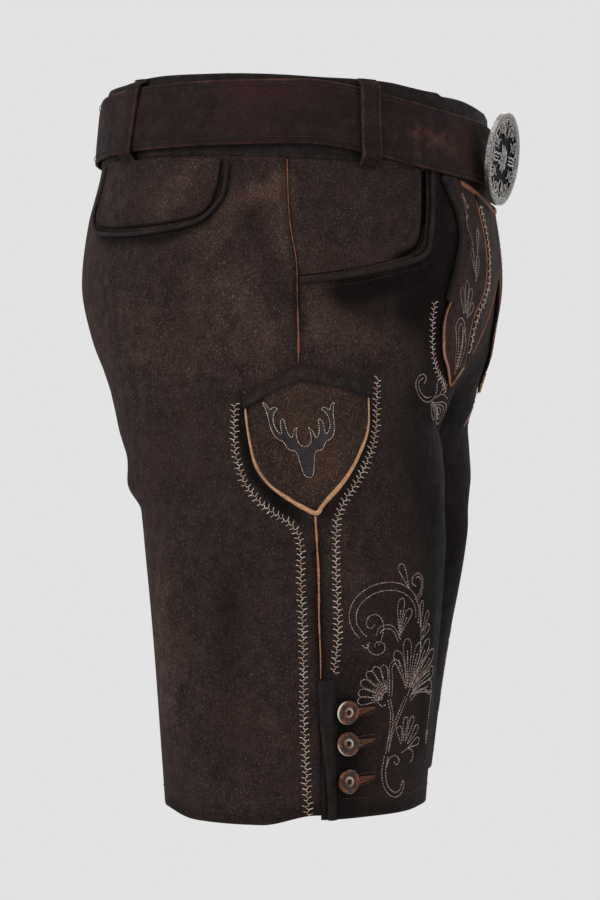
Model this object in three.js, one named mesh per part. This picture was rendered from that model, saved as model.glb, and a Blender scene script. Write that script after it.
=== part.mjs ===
// Lederhosen: knee-length leather breeches with their belt, filled out as if worn.
// Millimetres, +Z up. The front faces -Y and the wearer's right side is -X.
// The origin is the middle of the waist, half way up the belt.
//
// A place on the leather is given by a side (-1 right, +1 left), a distance s along the
// leather from the side seam (positive to the front, negative to the back) and a level z
// at the side seam. Every piece is a wall between two lifts off that surface.
import * as THREE from "three";
import { mergeVertices } from "three/addons/utils/BufferGeometryUtils.js";

const lerp = THREE.MathUtils.lerp;
const right = -1;
const left = 1;
const gap = 0.3; // between pieces that meet edge to edge
const leather = 1.6; // thickness of the deer leather
const trimLift = 0.55; // underside of what lies on a panel
const trimTop = 1.9; // upper side of what lies on a panel
const edgeLift = 2.6; // underside of the edge binding on such a piece
const edgeTop = 3.3;
const hemLevel = -496;
const bandBottom = -31;
const bandTop = 28;
const pocketLevel = -135; // below the whole front pocket
const slitTop = -396;
const torsoRoundness = 2.25; // exponent of the torso's section
const legRoundness = 2.1; // exponent of the leg's section

// Sections down the garment. half, front and back are the torso's half width and depths, the
// leg columns place and size one leg, and mixFront and mixBack say how far the section has
// turned from torso into leg. seam turns the side seam forward, in degrees, tilt slopes the
// section, drop lowers its inner end and stride sets the left leg back.
const formColumns = ["z", "half", "front", "back", "mixFront", "mixBack", "drop",
  "legX", "legY", "legFront", "legBack", "legHalf", "seam", "tilt", "stride"];
const formRows = [
  [28, 165.6, 141, 141, 0, 0, 0, 99, -12, 112, 125, 98, 6.5, 0.05, 0],
  [-31, 171, 144, 147, 0, 0, 0, 99, -12, 112, 128, 98, 6.5, 0.045, 0],
  [-75, 180, 149, 157, 0, 0, 0, 99, -12, 112, 130, 98, 7.5, 0.04, 0],
  [-115, 187, 152, 161, 0.02, 0, 0, 99, -12, 112, 132, 98, 9.5, 0.02, 0],
  [-155, 192, 152, 155, 0.1, 0.02, 0, 99, -12, 113, 132, 98, 10, 0.01, 0],
  [-195, 196, 147, 146, 0.3, 0.12, 0, 99, -12, 113, 132, 98, 11, 0, 0],
  [-232, 198, 142, 138, 0.68, 0.4, 1, 99, -12, 112, 129, 98, 13.5, 0, 2],
  [-262, 199, 138, 130, 1, 1, 8, 99.5, -13, 110, 120, 98.5, 15, 0, 4],
  [-280, 200, 134, 126, 1, 1, 4, 100, -13, 109, 110, 98.5, 16, 0, 4.5],
  [-300, 200, 134, 126, 1, 1, 0, 101.5, -14, 108, 109, 98.5, 16.5, 0, 5],
  [-396, 200, 134, 126, 1, 1, 0, 104, -15, 101, 102, 96, 18.5, 0, 15],
  [-496, 200, 134, 126, 1, 1, 0, 106, -14, 94, 92, 94, 21, 0, 22],
];
const rowLevels = formRows.map((row) => row[0]);
const rowSlopes = formRows.map((row, i) => row.map((value, k) => slopeAt(i, k)));
const curveSteps = 96;
const curveCache = new Map();

// Slope of one column at one row, flat where the column turns, so that nothing overshoots.
function slopeAt(i, k) {
  const last = formRows.length - 1;
  const rise = (a, b) => (formRows[b][k] - formRows[a][k]) / (rowLevels[a] - rowLevels[b]);
  if (i === 0) return rise(0, 1);
  if (i === last) return rise(last - 1, last);
  const above = rise(i - 1, i);
  const below = rise(i, i + 1);
  return above * below > 0 ? (2 * above * below) / (above + below) : 0;
}

function section(z) {
  const level = THREE.MathUtils.clamp(z, rowLevels.at(-1), rowLevels[0]);
  let i = 0;
  while (i < formRows.length - 2 && level < rowLevels[i + 1]) i += 1;
  const span = rowLevels[i] - rowLevels[i + 1];
  const t = (rowLevels[i] - level) / span;
  const startShare = 2 * t ** 3 - 3 * t ** 2 + 1;
  const startPull = (t ** 3 - 2 * t ** 2 + t) * span;
  const endPull = (t ** 3 - t ** 2) * span;
  const row = {};
  formColumns.forEach((name, k) => {
    row[name] = startShare * formRows[i][k] + (1 - startShare) * formRows[i + 1][k]
      + startPull * rowSlopes[i][k] + endPull * rowSlopes[i + 1][k];
  });
  return row;
}

function signedPower(value, power) {
  return Math.sign(value) * Math.abs(value) ** power;
}

// Half a section of the right side, from the side seam to the middle or the inseam, with the
// distance travelled at each point. facing is -1 for the front and +1 for the back.
function panelCurve(row, facing) {
  const seam = THREE.MathUtils.degToRad(row.seam) * -facing;
  const mix = facing < 0 ? row.mixFront : row.mixBack;
  const points = [];
  const travelled = [0];
  for (let i = 0; i <= curveSteps; i += 1) {
    const u = i / curveSteps;
    const torsoAngle = seam + (Math.PI / 2 - seam) * u;
    const legAngle = seam + (Math.PI - seam) * u;
    const torsoDepth = facing < 0 || torsoAngle < 0 ? row.front : row.back;
    const legDepth = facing < 0 || legAngle < 0 ? row.legFront : row.legBack;
    const torsoX = -row.half * signedPower(Math.cos(torsoAngle), 2 / torsoRoundness);
    const torsoY = facing * torsoDepth * signedPower(Math.sin(torsoAngle), 2 / torsoRoundness);
    const legX = -row.legX - row.legHalf * signedPower(Math.cos(legAngle), 2 / legRoundness);
    const legY = row.legY + facing * legDepth * signedPower(Math.sin(legAngle), 2 / legRoundness);
    const x = (i < curveSteps ? torsoX * (1 - mix) : 0) + legX * mix;
    const y = torsoY * (1 - mix) + legY * mix;
    const point = new THREE.Vector3(x, y, row.z + row.tilt * y - row.drop * u * u);
    if (i > 0) travelled.push(travelled[i - 1] + point.distanceTo(points[i - 1]));
    points.push(point);
  }
  return { points, travelled, length: travelled.at(-1) };
}

function curvesAt(z) {
  const key = z.toFixed(3);
  if (!curveCache.has(key)) {
    const row = section(z);
    curveCache.set(key, { stride: row.stride, front: panelCurve(row, -1), back: panelCurve(row, 1) });
  }
  return curveCache.get(key);
}

function frontLength(z) {
  return curvesAt(z).front.length;
}

function backLength(z) {
  return curvesAt(z).back.length;
}

function surface(side, s, z) {
  const curves = curvesAt(z);
  const curve = s < 0 ? curves.back : curves.front;
  const distance = Math.min(Math.abs(s), curve.length);
  let i = 1;
  while (i < curveSteps && curve.travelled[i] < distance) i += 1;
  const t = (distance - curve.travelled[i - 1]) / (curve.travelled[i] - curve.travelled[i - 1]);
  const point = curve.points[i - 1].clone().lerp(curve.points[i], t);
  if (side === left) point.set(-point.x, point.y + curves.stride, point.z);
  return point;
}

// The surface point moved out by lift, along the surface's normal there.
function lifted(side, s, z, lift) {
  const step = 1.5;
  const ahead = surface(side, Math.min(s + step, frontLength(z)), z);
  const behind = surface(side, Math.max(s - step, -backLength(z)), z);
  const above = surface(side, s, Math.min(z + step, bandTop));
  const below = surface(side, s, Math.max(z - step, hemLevel));
  const normal = ahead.sub(behind).cross(above.sub(below)).normalize().multiplyScalar(-side * lift);
  return surface(side, s, z).add(normal);
}

function closedGeometry(positions, triangles) {
  const geometry = new THREE.BufferGeometry();
  geometry.setAttribute("position", new THREE.Float32BufferAttribute(positions.flat(), 3));
  geometry.setIndex(triangles);
  const merged = mergeVertices(geometry, 0.002);
  const index = Array.from(merged.index.array);
  const kept = [];
  for (let i = 0; i < index.length; i += 3) {
    const [a, b, c] = index.slice(i, i + 3);
    if (a !== b && b !== c && c !== a) kept.push(a, b, c);
  }
  merged.setIndex(volumeOf(merged.attributes.position, kept) < 0 ? kept.reverse() : kept);
  merged.computeVertexNormals();
  return merged;
}

function volumeOf(position, index) {
  const corners = [new THREE.Vector3(), new THREE.Vector3(), new THREE.Vector3()];
  let total = 0;
  for (let i = 0; i < index.length; i += 3) {
    corners.forEach((corner, k) => corner.fromBufferAttribute(position, index[i + k]));
    total += corners[0].dot(corners[1].cross(corners[2]));
  }
  return total / 6;
}

// A closed wall between two grids of points, given by functions of u and v from 0 to 1.
function wallBetween(inner, outer, columns, rows) {
  const positions = [];
  const triangles = [];
  const quad = (a, b, c, d) => triangles.push(a, b, c, a, c, d);
  const across = columns + 1;
  const outerStart = across * (rows + 1);
  for (const face of [inner, outer]) {
    for (let j = 0; j <= rows; j += 1) {
      for (let i = 0; i <= columns; i += 1) positions.push(face(i / columns, j / rows).toArray());
    }
  }
  for (let j = 0; j < rows; j += 1) {
    for (let i = 0; i < columns; i += 1) {
      const a = j * across + i;
      quad(a, a + across, a + across + 1, a + 1);
      quad(outerStart + a, outerStart + a + 1, outerStart + a + across + 1, outerStart + a + across);
    }
  }
  const rim = [];
  for (let i = 0; i < columns; i += 1) rim.push(i);
  for (let j = 0; j < rows; j += 1) rim.push(j * across + columns);
  for (let i = columns; i > 0; i -= 1) rim.push(rows * across + i);
  for (let j = rows; j > 0; j -= 1) rim.push(j * across);
  rim.forEach((a, k) => {
    const b = rim[(k + 1) % rim.length];
    quad(a, b, outerStart + b, outerStart + a);
  });
  return closedGeometry(positions, triangles);
}

// A wall over the leather. place gives {side, s, z} for u and v.
function wall(place, columns, rows, lowLift, highLift) {
  const at = (lift) => (u, v) => {
    const { side, s, z } = place(u, v);
    return lifted(side, s, z, lift);
  };
  return wallBetween(at(lowLift), at(highLift), columns, rows);
}

// A tape of the given width along a route of {s, z} on one side, centred on it.
function tape(side, route, steps, width, lowLift, highLift) {
  const place = (u, v) => {
    const here = route(u);
    const next = route(Math.min(u + 0.004, 1));
    const last = route(Math.max(u - 0.004, 0));
    const alongS = next.s - last.s;
    const alongZ = next.z - last.z;
    const offset = ((v - 0.5) * width) / Math.hypot(alongS, alongZ);
    return { side, s: here.s - alongZ * offset, z: here.z + alongS * offset };
  };
  return wall(place, steps, 1, lowLift, highLift);
}

// A round cord of leather along a route of {s, z}, its middle lifted off the surface.
function cord(side, route, steps, radius, lift) {
  const sides = 6;
  const positions = [];
  const triangles = [];
  for (let i = 0; i <= steps; i += 1) {
    const u = i / steps;
    const here = route(u);
    const centre = lifted(side, here.s, here.z, lift);
    const out = lifted(side, here.s, here.z, lift + 1).sub(centre);
    const next = route(Math.min(u + 0.01, 1));
    const last = route(Math.max(u - 0.01, 0));
    const along = lifted(side, next.s, next.z, lift).sub(lifted(side, last.s, last.z, lift)).normalize();
    const across = new THREE.Vector3().crossVectors(along, out).normalize();
    for (let k = 0; k < sides; k += 1) {
      const angle = (2 * Math.PI * k) / sides;
      const spoke = across.clone().multiplyScalar(Math.cos(angle) * radius)
        .addScaledVector(out, Math.sin(angle) * radius);
      positions.push(centre.clone().add(spoke).toArray());
    }
  }
  for (let i = 0; i < steps; i += 1) {
    for (let k = 0; k < sides; k += 1) {
      const a = i * sides + k;
      const b = i * sides + ((k + 1) % sides);
      triangles.push(a, b, b + sides, a, b + sides, a + sides);
    }
  }
  for (let k = 1; k < sides - 1; k += 1) {
    triangles.push(0, k + 1, k);
    triangles.push(steps * sides, steps * sides + k, steps * sides + k + 1);
  }
  return closedGeometry(positions, triangles);
}

// Linear reading of a short table of {at, value} rows, at rising.
function readTable(table, at) {
  const last = table.length - 1;
  if (at <= table[0].at) return table[0].value;
  if (at >= table[last].at) return table[last].value;
  const i = table.findIndex((row) => row.at > at);
  const t = (at - table[i - 1].at) / (table[i].at - table[i - 1].at);
  return THREE.MathUtils.lerp(table[i - 1].value, table[i].value, t);
}


// A route of straight lines through a few corners of [first, z], read as {s, z}.
function routeThrough(corners) {
  return (u) => {
    const i = Math.min(Math.floor(u * (corners.length - 1)), corners.length - 2);
    const t = u * (corners.length - 1) - i;
    return { s: lerp(corners[i][0], corners[i + 1][0], t), z: lerp(corners[i][1], corners[i + 1][1], t) };
  };
}

function routeOn(curve) {
  return (u) => {
    const point = curve.getPointAt(u);
    return { s: point.x, z: point.y };
  };
}

// ---------------------------------------------------------------- leg panels and pockets

// The front panel's upper edge: the pocket's mouth rises from the side seam to the band.
const pocketMouth = [
  { at: 0, value: -116 }, { at: 26, value: -112 }, { at: 50, value: -107 }, { at: 72, value: -101 },
  { at: 91, value: -95 }, { at: 100, value: -88 }, { at: 104, value: -78 }, { at: 107.5, value: -58 },
  { at: 110, value: bandBottom - gap },
];
const frontColumns = [gap / 2, ...pocketMouth.slice(1).map((row) => row.at)];
const centreColumns = 5; // from the last of those to the middle
const panelLevels = [hemLevel, -464, -430, -396, -362, -330, -304, -288, -274, -260, -246, -230,
  -212, -192, -172, -153, pocketLevel];
const frontTopRows = 4; // from the pocket level up to the upper edge

function frontPlace(side) {
  const columns = frontColumns.length - 1 + centreColumns;
  const rows = panelLevels.length - 1 + frontTopRows;
  const place = (u, v) => {
    const row = Math.round(v * rows);
    const column = Math.round(u * columns);
    const level = Math.min(row, panelLevels.length - 1);
    const outerColumn = Math.min(column, frontColumns.length - 1);
    const reach = frontColumns[outerColumn];
    const upperEdge = readTable(pocketMouth, reach);
    const climb = Math.max(row - panelLevels.length + 1, 0) / frontTopRows;
    const z = lerp(panelLevels[level], upperEdge, climb);
    const inward = (column - outerColumn) / centreColumns;
    return { side, s: lerp(reach, frontLength(z) - gap / 2, inward), z };
  };
  return { place, columns, rows };
}

function frontPanel(side) {
  const { place, columns, rows } = frontPlace(side);
  return wall(place, columns, rows, -leather, 0);
}

const backColumns = 13;
const backTopLevels = [-112, -90, -68, -48, bandBottom - gap];

function backPanel(side) {
  const levels = [...panelLevels, ...backTopLevels];
  const rows = levels.length - 1;
  const place = (u, v) => {
    const z = levels[Math.round(v * rows)];
    return { side, s: lerp(-gap / 2, -backLength(z) + gap / 2, u), z };
  };
  return wall(place, backColumns, rows, -leather, 0);
}

// The pocket's facing fills the space above the mouth, a little below the panels' surface.
const facingSink = 0.5;
const facingColumns = [gap * 2, 26, 50, 72, 88];

function hipFacing(side) {
  const columns = facingColumns.length - 1;
  const place = (u, v) => {
    const reach = facingColumns[Math.round(u * columns)];
    const low = readTable(pocketMouth, reach) + gap * 2;
    const z = lerp(low, bandBottom - gap, v);
    const widening = reach === facingColumns[columns] ? 20 * v : 0;
    return { side, s: reach + widening, z };
  };
  return wall(place, columns, 4, -leather - facingSink, -facingSink);
}

// A cord of leather finishes the mouth, just below and in front of its edge.
function frontPocketPiping(side) {
  const points = pocketMouth.map(({ at, value }) => new THREE.Vector2(at + 3, value - 4.5));
  points[0].x = 2.5;
  return cord(side, routeOn(new THREE.SplineCurve(points)), 16, 1.7, 2.4);
}

// The back pocket's patch, its foot line by distance from the side seam.
const backPocket = { outer: -183, inner: -50, top: -33.5, outerLean: 14, innerLean: 4 };
const backPocketFoot = [
  { at: -183, value: -70 }, { at: -176, value: -78 }, { at: -155, value: -81 }, { at: -118, value: -82 },
  { at: -86, value: -79 }, { at: -65, value: -74 }, { at: -55, value: -65 }, { at: -50, value: -52 },
];

function backPocketPatch() {
  const place = (u, v) => {
    const s = lerp(backPocket.outer, backPocket.inner, u);
    const lean = lerp(backPocket.outerLean, backPocket.innerLean, u) * v;
    return { side: right, s: s + lean, z: lerp(readTable(backPocketFoot, s), backPocket.top, v) };
  };
  return wall(place, 11, 3, trimLift, trimTop);
}

function backPocketPiping() {
  const foot = backPocketFoot.slice(1, -1).map((row) => [row.at, row.value - 4]);
  const points = [[-173.5, -36], [-180, -55], [-188, -72], ...foot, [-44, -52], [-41.5, -37]];
  const route = new THREE.SplineCurve(points.map(([s, z]) => new THREE.Vector2(s, z)));
  return cord(right, routeOn(route), 20, 1.6, 2.3);
}

function sidePiping(side, top, foot) {
  const route = (u) => ({ s: 0, z: lerp(top, foot, u) });
  const steps = Math.ceil((top - foot) / 18);
  return tape(side, route, steps, 3, trimLift, 1.3);
}

// ---------------------------------------------------------------- waistband, belt and loops

function waistband(side) {
  const reach = 0.999;
  const place = (u, v) => {
    const z = lerp(bandBottom, bandTop, v);
    const q = lerp(-reach, reach, u);
    return { side, s: q < 0 ? q * backLength(z) : q * frontLength(z), z };
  };
  return wall(place, 26, 1, -2.4, 0.4);
}

const belt = { width: 46, thickness: 3.2, lift: 3.3, frontDrop: 18, middle: 0, open: 4 };

// Level of the belt's middle line at depth y: it sags towards the buckle.
function beltLevel(y) {
  const t = THREE.MathUtils.smoothstep(-y, 30, 140);
  return belt.middle - belt.frontDrop * t;
}

function beltPoint(side, q, rise, lift) {
  const waist = section(0);
  const s = q < 0 ? q * backLength(0) : q * (frontLength(0) - belt.open);
  const y = surface(side, s, 0).y;
  const z = beltLevel(y) + rise - waist.tilt * y;
  const length = q < 0 ? backLength(z) / backLength(0) : frontLength(z) / frontLength(0);
  return lifted(side, s * length, z, lift);
}

function beltStrap() {
  const at = (lift) => (u, v) => {
    const turn = u * 4 - 2; // -2 right front end, 0 middle of the back, 2 left front end
    const side = turn < 0 ? right : left;
    return beltPoint(side, Math.abs(turn) - 1, (v - 0.5) * belt.width, lift);
  };
  return wallBetween(at(belt.lift), at(belt.lift + belt.thickness), 52, 1);
}

const loop = { width: 14, thickness: 1.8, clearance: 0.5 };
const loopPlaces = [
  { name: "front", top: 56, foot: 58, play: 2.4 },
  { name: "back", top: -111, foot: -126, play: 1 },
];

// A belt loop stands on the band, passes over the belt and comes back to the band.
function beltLoop(side, place) {
  const over = belt.lift + belt.thickness + loop.clearance;
  const middle = beltLevel(surface(side, place.foot, 0).y) - 0.045 * surface(side, place.foot, 0).y;
  const reach = belt.width / 2 + place.play;
  const profile = [
    { lift: 0.8, rise: -reach - 5 }, { lift: 1.6, rise: -reach - 3 }, { lift: over, rise: -reach },
    { lift: over, rise: 0 }, { lift: over, rise: reach }, { lift: 1.6, rise: reach + 3 },
    { lift: 0.8, rise: reach + 5 },
  ];
  const steps = profile.length - 1;
  const at = (extra) => (u, v) => {
    const here = profile[Math.round(v * steps)];
    const s = lerp(place.foot, place.top, v) + (u - 0.5) * loop.width;
    return lifted(side, s, Math.min(middle + here.rise, bandTop), here.lift + extra);
  };
  return wallBetween(at(0), at(loop.thickness), 2, steps);
}

// ---------------------------------------------------------------- buckle

const buckle = { x: -37, y: -157.5, z: -21, half: 42, rise: 34.3, thickness: 4.2, turn: 9, lean: 8 };

function buckleRotation(geometry) {
  geometry.rotateX(THREE.MathUtils.degToRad(buckle.lean));
  geometry.rotateZ(THREE.MathUtils.degToRad(-buckle.turn));
  return geometry.translate(buckle.x, buckle.y, buckle.z);
}

// An oval plate with a rounded rim, a low dome and a thick beaded border.
function bucklePlate() {
  const profile = [[0, 0], [0.93, 0], [1, 0.3], [1, 0.72], [0.95, 1], [0.86, 1], [0.82, 0.72],
    [0.5, 0.92], [0, 1]].map(([radius, height]) => new THREE.Vector2(radius, height));
  const plate = new THREE.LatheGeometry(profile, 40);
  plate.scale(buckle.half, buckle.thickness, buckle.rise);
  plate.rotateX(Math.PI);
  return buckleRotation(closeLathe(plate));
}

// A flat bar that joins the plate's back to the strap.
function buckleBar() {
  const depth = 5;
  const bar = new THREE.BoxGeometry(30, depth, 40);
  bar.translate(0, depth / 2 + gap, 0);
  return buckleRotation(closeLathe(bar));
}

function closeLathe(geometry) {
  geometry.deleteAttribute("normal");
  geometry.deleteAttribute("uv");
  const merged = mergeVertices(geometry, 0.001);
  const positions = [];
  for (let i = 0; i < merged.attributes.position.count; i += 1) {
    positions.push(new THREE.Vector3().fromBufferAttribute(merged.attributes.position, i).toArray());
  }
  return closedGeometry(positions, Array.from(merged.index.array));
}

// ---------------------------------------------------------------- fly flap and its strips

// Distances from the middle of the front, by level. The strip lies between the two lines.
const stripInner = [
  { at: -192, value: 98 }, { at: -174, value: 76 }, { at: -161, value: 82 }, { at: -147, value: 80 },
  { at: -136, value: 75 }, { at: -116, value: 58 }, { at: -92, value: 51 }, { at: -79, value: 50 },
  { at: -59, value: 55 }, { at: -36, value: 66 },
];
const stripOuter = [
  { at: -192, value: 99.5 }, { at: -174, value: 113 }, { at: -165, value: 121 }, { at: -143, value: 123 },
  { at: -127, value: 116 }, { at: -106, value: 107 }, { at: -84, value: 95 }, { at: -67, value: 92 },
  { at: -51, value: 98 }, { at: -33, value: 107 },
];
const flapLift = 0.9; // the flap spans the hollow of the fork, a little clear of it
const flap = { top: -33.5, dip: 17, half: 99, apex: -97, foot: -174, footReach: 76 };

function flapTop(c) {
  return flap.top - flap.dip * Math.max(1 - c / flap.half, 0);
}

// The upturned V of the flap's foot, its two arms bowed a little.
function flapFoot(c) {
  return lerp(flap.apex, flap.foot, Math.min(c / flap.footReach, 1) ** 0.8);
}

function fromMiddle(side, c, z) {
  return { side, s: frontLength(z) - Math.max(c, 0), z };
}

// The middle of the flap, cut to an upturned V at its foot.
function flapPanel() {
  const place = (u, v) => {
    const share = u * 2 - 1;
    const side = share < 0 ? right : left;
    const reach = Math.abs(share);
    const z = lerp(flapFoot(reach * flap.footReach), flapTop(reach * 66), v);
    return fromMiddle(side, reach * (readTable(stripInner, z) - gap), z);
  };
  return wall(place, 10, 9, flapLift, trimTop + 0.2);
}

function flapStrip(side) {
  const place = (u, v) => {
    const foot = lerp(-192, flap.foot, u);
    const top = lerp(flap.top + 1, flapTop(66), u);
    const z = lerp(foot, top, v);
    return fromMiddle(side, lerp(readTable(stripOuter, z), readTable(stripInner, z) + gap, u), z);
  };
  return wall(place, 4, 9, flapLift, trimTop + 0.2);
}

// The strip's outer edge is turned over into a soft roll down to where the binding starts.
function flapRoll(side) {
  const rollFoot = -128;
  const route = (u) => {
    const z = lerp(-35, rollFoot, u);
    const { s } = fromMiddle(side, readTable(stripOuter, z) + 3.5, z);
    return { s, z };
  };
  return cord(side, route, 12, 2, 2.6);
}

function stripBinding(side) {
  const inset = 1.8;
  const corners = [
    ...[-133, -145, -158, -165, -174].map((z) => [readTable(stripOuter, z) - inset, z]),
    [99, -189],
    [flap.footReach + 3, flap.foot - 0.5],
    ...[-161, -147, -136, -116, -92, -79, -59, -48].map((z) => [readTable(stripInner, z) + inset + gap, z]),
  ];
  const route = routeThrough(corners);
  const place = (u) => {
    const { s: c, z } = route(u);
    return fromMiddle(side, c, z);
  };
  return tape(side, place, (corners.length - 1) * 2, 2.4, edgeLift, edgeTop);
}

// A narrow binding across the middle of the front. level gives its upper line at distance c.
function middleBinding(reach, level, columns) {
  const place = (u, v) => {
    const share = u * 2 - 1;
    const c = Math.abs(share) * reach;
    return fromMiddle(share < 0 ? right : left, c, level(c) - (1 - v) * 3);
  };
  return wall(place, columns, 1, edgeLift, edgeTop);
}

// ---------------------------------------------------------------- knife pocket on the right leg

const shieldLeft = [
  { at: -281, value: 0 }, { at: -271, value: -18 }, { at: -262, value: -30 }, { at: -252, value: -37 },
  { at: -240, value: -40 }, { at: -220, value: -41 }, { at: -200, value: -39 },
];
const shieldRight = [
  { at: -281, value: 1 }, { at: -271, value: 10 }, { at: -262, value: 19 }, { at: -252, value: 27.5 },
  { at: -240, value: 35.5 }, { at: -220, value: 45 }, { at: -203, value: 49 },
];
const shield = { foot: -281, shoulder: -213, peakS: 2, peak: -178, leftCorner: -198, rightCorner: -190 };
const bindingWidth = 3;
const bandDepth = 11;
const shieldLowRows = 7;
const shieldTopRows = 2;
const shieldLift = 0.85;
const shieldTopLift = 2.2;

function shieldTop(s) {
  const corner = s < shield.peakS ? shield.leftCorner : shield.rightCorner;
  const reach = s < shield.peakS ? readTable(shieldLeft, -200) : readTable(shieldRight, -200);
  return lerp(shield.peak, corner, (s - shield.peakS) / (reach - shield.peakS));
}

// A point inside one edge of the shield, depth measured square to that edge.
function insideShield(table, z, depth) {
  const slope = (readTable(table, z + 3) - readTable(table, z - 3)) / 6;
  const inward = table === shieldLeft ? 1 : -1;
  return readTable(table, z) + inward * depth * Math.hypot(1, slope);
}

// Share u of the way from one edge to the other, half of it on each side of the peak.
function acrossShield(from, to, u) {
  const middle = THREE.MathUtils.clamp(shield.peakS, from, to);
  return u < 0.5 ? lerp(from, middle, u * 2) : lerp(middle, to, u * 2 - 1);
}

function shieldFace() {
  const inset = bindingWidth + gap * 2;
  const share = shieldLowRows / (shieldLowRows + shieldTopRows);
  const place = (u, v) => {
    const low = Math.min(v / share, 1);
    const climb = Math.max(v - share, 0) / (1 - share);
    const z = lerp(shield.foot + 5, shield.shoulder, low);
    const from = insideShield(shieldLeft, z, inset);
    const to = Math.max(insideShield(shieldRight, z, inset), from + 0.4);
    const s = acrossShield(from, to, u);
    return { side: right, s, z: lerp(z, shieldTop(s) - bandDepth - gap * 2, climb) };
  };
  return wall(place, 6, shieldLowRows + shieldTopRows, shieldLift, shieldTopLift);
}

// The turned-over upper edge of the knife pocket.
function shieldBand() {
  const place = (u, v) => {
    const s = acrossShield(readTable(shieldLeft, -200), readTable(shieldRight, -200), u);
    return { side: right, s, z: shieldTop(s) - (1 - v) * bandDepth };
  };
  return wall(place, 8, 1, shieldLift, shieldTopLift + 0.8);
}

function shieldBinding() {
  const levels = [-211, -220, -230, -240, -252, -262, -271];
  const corners = [
    ...levels.map((z) => [insideShield(shieldRight, z, bindingWidth / 2), z]),
    [0.5, shield.foot + 1.5],
    ...levels.toReversed().map((z) => [insideShield(shieldLeft, z, bindingWidth / 2), z]),
  ];
  const route = routeThrough(corners);
  return tape(right, route, (corners.length - 1) * 2, bindingWidth, shieldLift, shieldTopLift);
}

// Half of the stag's head, from the nose up the cheek, the ear and the antler to the crown.
const stagHalf = [[1.5, -26], [4, -24], [4.5, -18], [7.5, -9], [10, -4], [15, -1], [9.5, 2], [6, 3],
  [13, 7], [20, 14], [23, 26], [17.5, 16], [13, 23], [12.5, 13], [7, 9], [5.5, 16], [3, 6]];
const stag = { s: 1, z: -230 };

function stagHead() {
  const outline = [...stagHalf, ...stagHalf.map(([a, b]) => [-a, b]).reverse()];
  return plate(outline, stag, trimTop + 0.9, trimTop + 1.9);
}

// A flat outline laid on the right side around a middle and given a thickness.
function plate(outline, middle, lowLift, highLift) {
  const flat = outline.map(([a, b]) => new THREE.Vector2(a, b));
  const faces = THREE.ShapeUtils.triangulateShape(flat, []);
  const count = flat.length;
  const positions = [lowLift, highLift].flatMap((lift) => flat.map((point) => (
    lifted(right, middle.s + point.x, middle.z + point.y, lift).toArray())));
  const triangles = faces.flatMap(([a, b, c]) => [a, c, b, a + count, b + count, c + count]);
  flat.forEach((point, a) => {
    const b = (a + 1) % count;
    triangles.push(a, b, b + count, a, b + count, a + count);
  });
  return closedGeometry(positions, triangles);
}

// ---------------------------------------------------------------- leg slit, buttons

const placket = { top: slitTop, foot: hemLevel + 0.4, inner: 11 };
const buttonLevels = [-418, -440, -466];
const button = { s: 18, radius: 8.4, height: 3.4, lift: 2.6 };
const buttonhole = { from: 28.5, to: 40, width: 7 };

// The slit's stitched edge laps over the back panel and leans forward to the hem.
function legPlacket(side) {
  const place = (u, v) => {
    const edge = lerp(4.5, -2.5, v);
    return { side, s: lerp(edge, placket.inner, u), z: lerp(placket.foot, placket.top, v) };
  };
  return wall(place, 1, 7, trimLift, trimTop);
}

function legButton(side, level) {
  const profile = [[0, -2], [1.3, -2], [1.3, 0], [7.6, 0], [button.radius, 1.5], [7.2, button.height],
    [5.2, 2.2], [0, 2.2]].map(([radius, height]) => new THREE.Vector2(radius, height));
  const disc = closeLathe(new THREE.LatheGeometry(profile, 14));
  const seat = lifted(side, button.s, level, button.lift);
  const out = lifted(side, button.s, level, button.lift + 1).sub(seat);
  const turn = new THREE.Quaternion().setFromUnitVectors(new THREE.Vector3(0, 1, 0), out);
  return disc.applyQuaternion(turn).translate(...seat.toArray());
}

function buttonholeBinding(side, level) {
  const place = (u, v) => ({
    side, s: lerp(buttonhole.from, buttonhole.to, u), z: level + 1 + (v - 0.5) * buttonhole.width,
  });
  return wall(place, 2, 1, trimLift, 1.4);
}

// ---------------------------------------------------------------- assembly

const finishes = {
  leather: { color: 0x2c2120, roughness: 0.75 },
  leatherDark: { color: 0x1f1918, roughness: 0.8 },
  tan: { color: 0xb98554, roughness: 0.8 },
  suede: { color: 0x2a2321, roughness: 0.95 },
  belt: { color: 0x281d1e, roughness: 0.85 },
  silver: { color: 0x8d8983, roughness: 0.4, metalness: 1 },
  horn: { color: 0x5a3620, roughness: 0.3 },
};

const lederhosen = new THREE.Group();

function add(name, geometry, finish) {
  const mesh = new THREE.Mesh(geometry, new THREE.MeshStandardMaterial(finishes[finish]));
  mesh.name = name;
  lederhosen.add(mesh);
}

for (const [side, word] of [[right, "right"], [left, "left"]]) {
  add(`front_${word}`, frontPanel(side), "leather");
  add(`back_${word}`, backPanel(side), "leather");
  add(`hip_facing_${word}`, hipFacing(side), "leather");
  add(`front_pocket_piping_${word}`, frontPocketPiping(side), "leatherDark");
  add(`waistband_${word}`, waistband(side), "leather");
  add(`flap_strip_${word}`, flapStrip(side), "leather");
  add(`flap_roll_${word}`, flapRoll(side), "leatherDark");
  add(`strip_binding_${word}`, stripBinding(side), "tan");
  add(`placket_${word}`, legPlacket(side), "leatherDark");
  for (const place of loopPlaces) {
    add(`belt_loop_${place.name}_${word}`, beltLoop(side, place), "leatherDark");
  }
  buttonLevels.forEach((level, i) => {
    add(`button_${word}_${i + 1}`, legButton(side, level), "horn");
    add(`buttonhole_${word}_${i + 1}`, buttonholeBinding(side, level), "tan");
  });
}
add("side_piping_right_upper", sidePiping(right, bandBottom - 1.5, shield.peak + 1.5), "tan");
add("side_piping_right_lower", sidePiping(right, shield.foot - 1.5, slitTop + 1), "tan");
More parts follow.
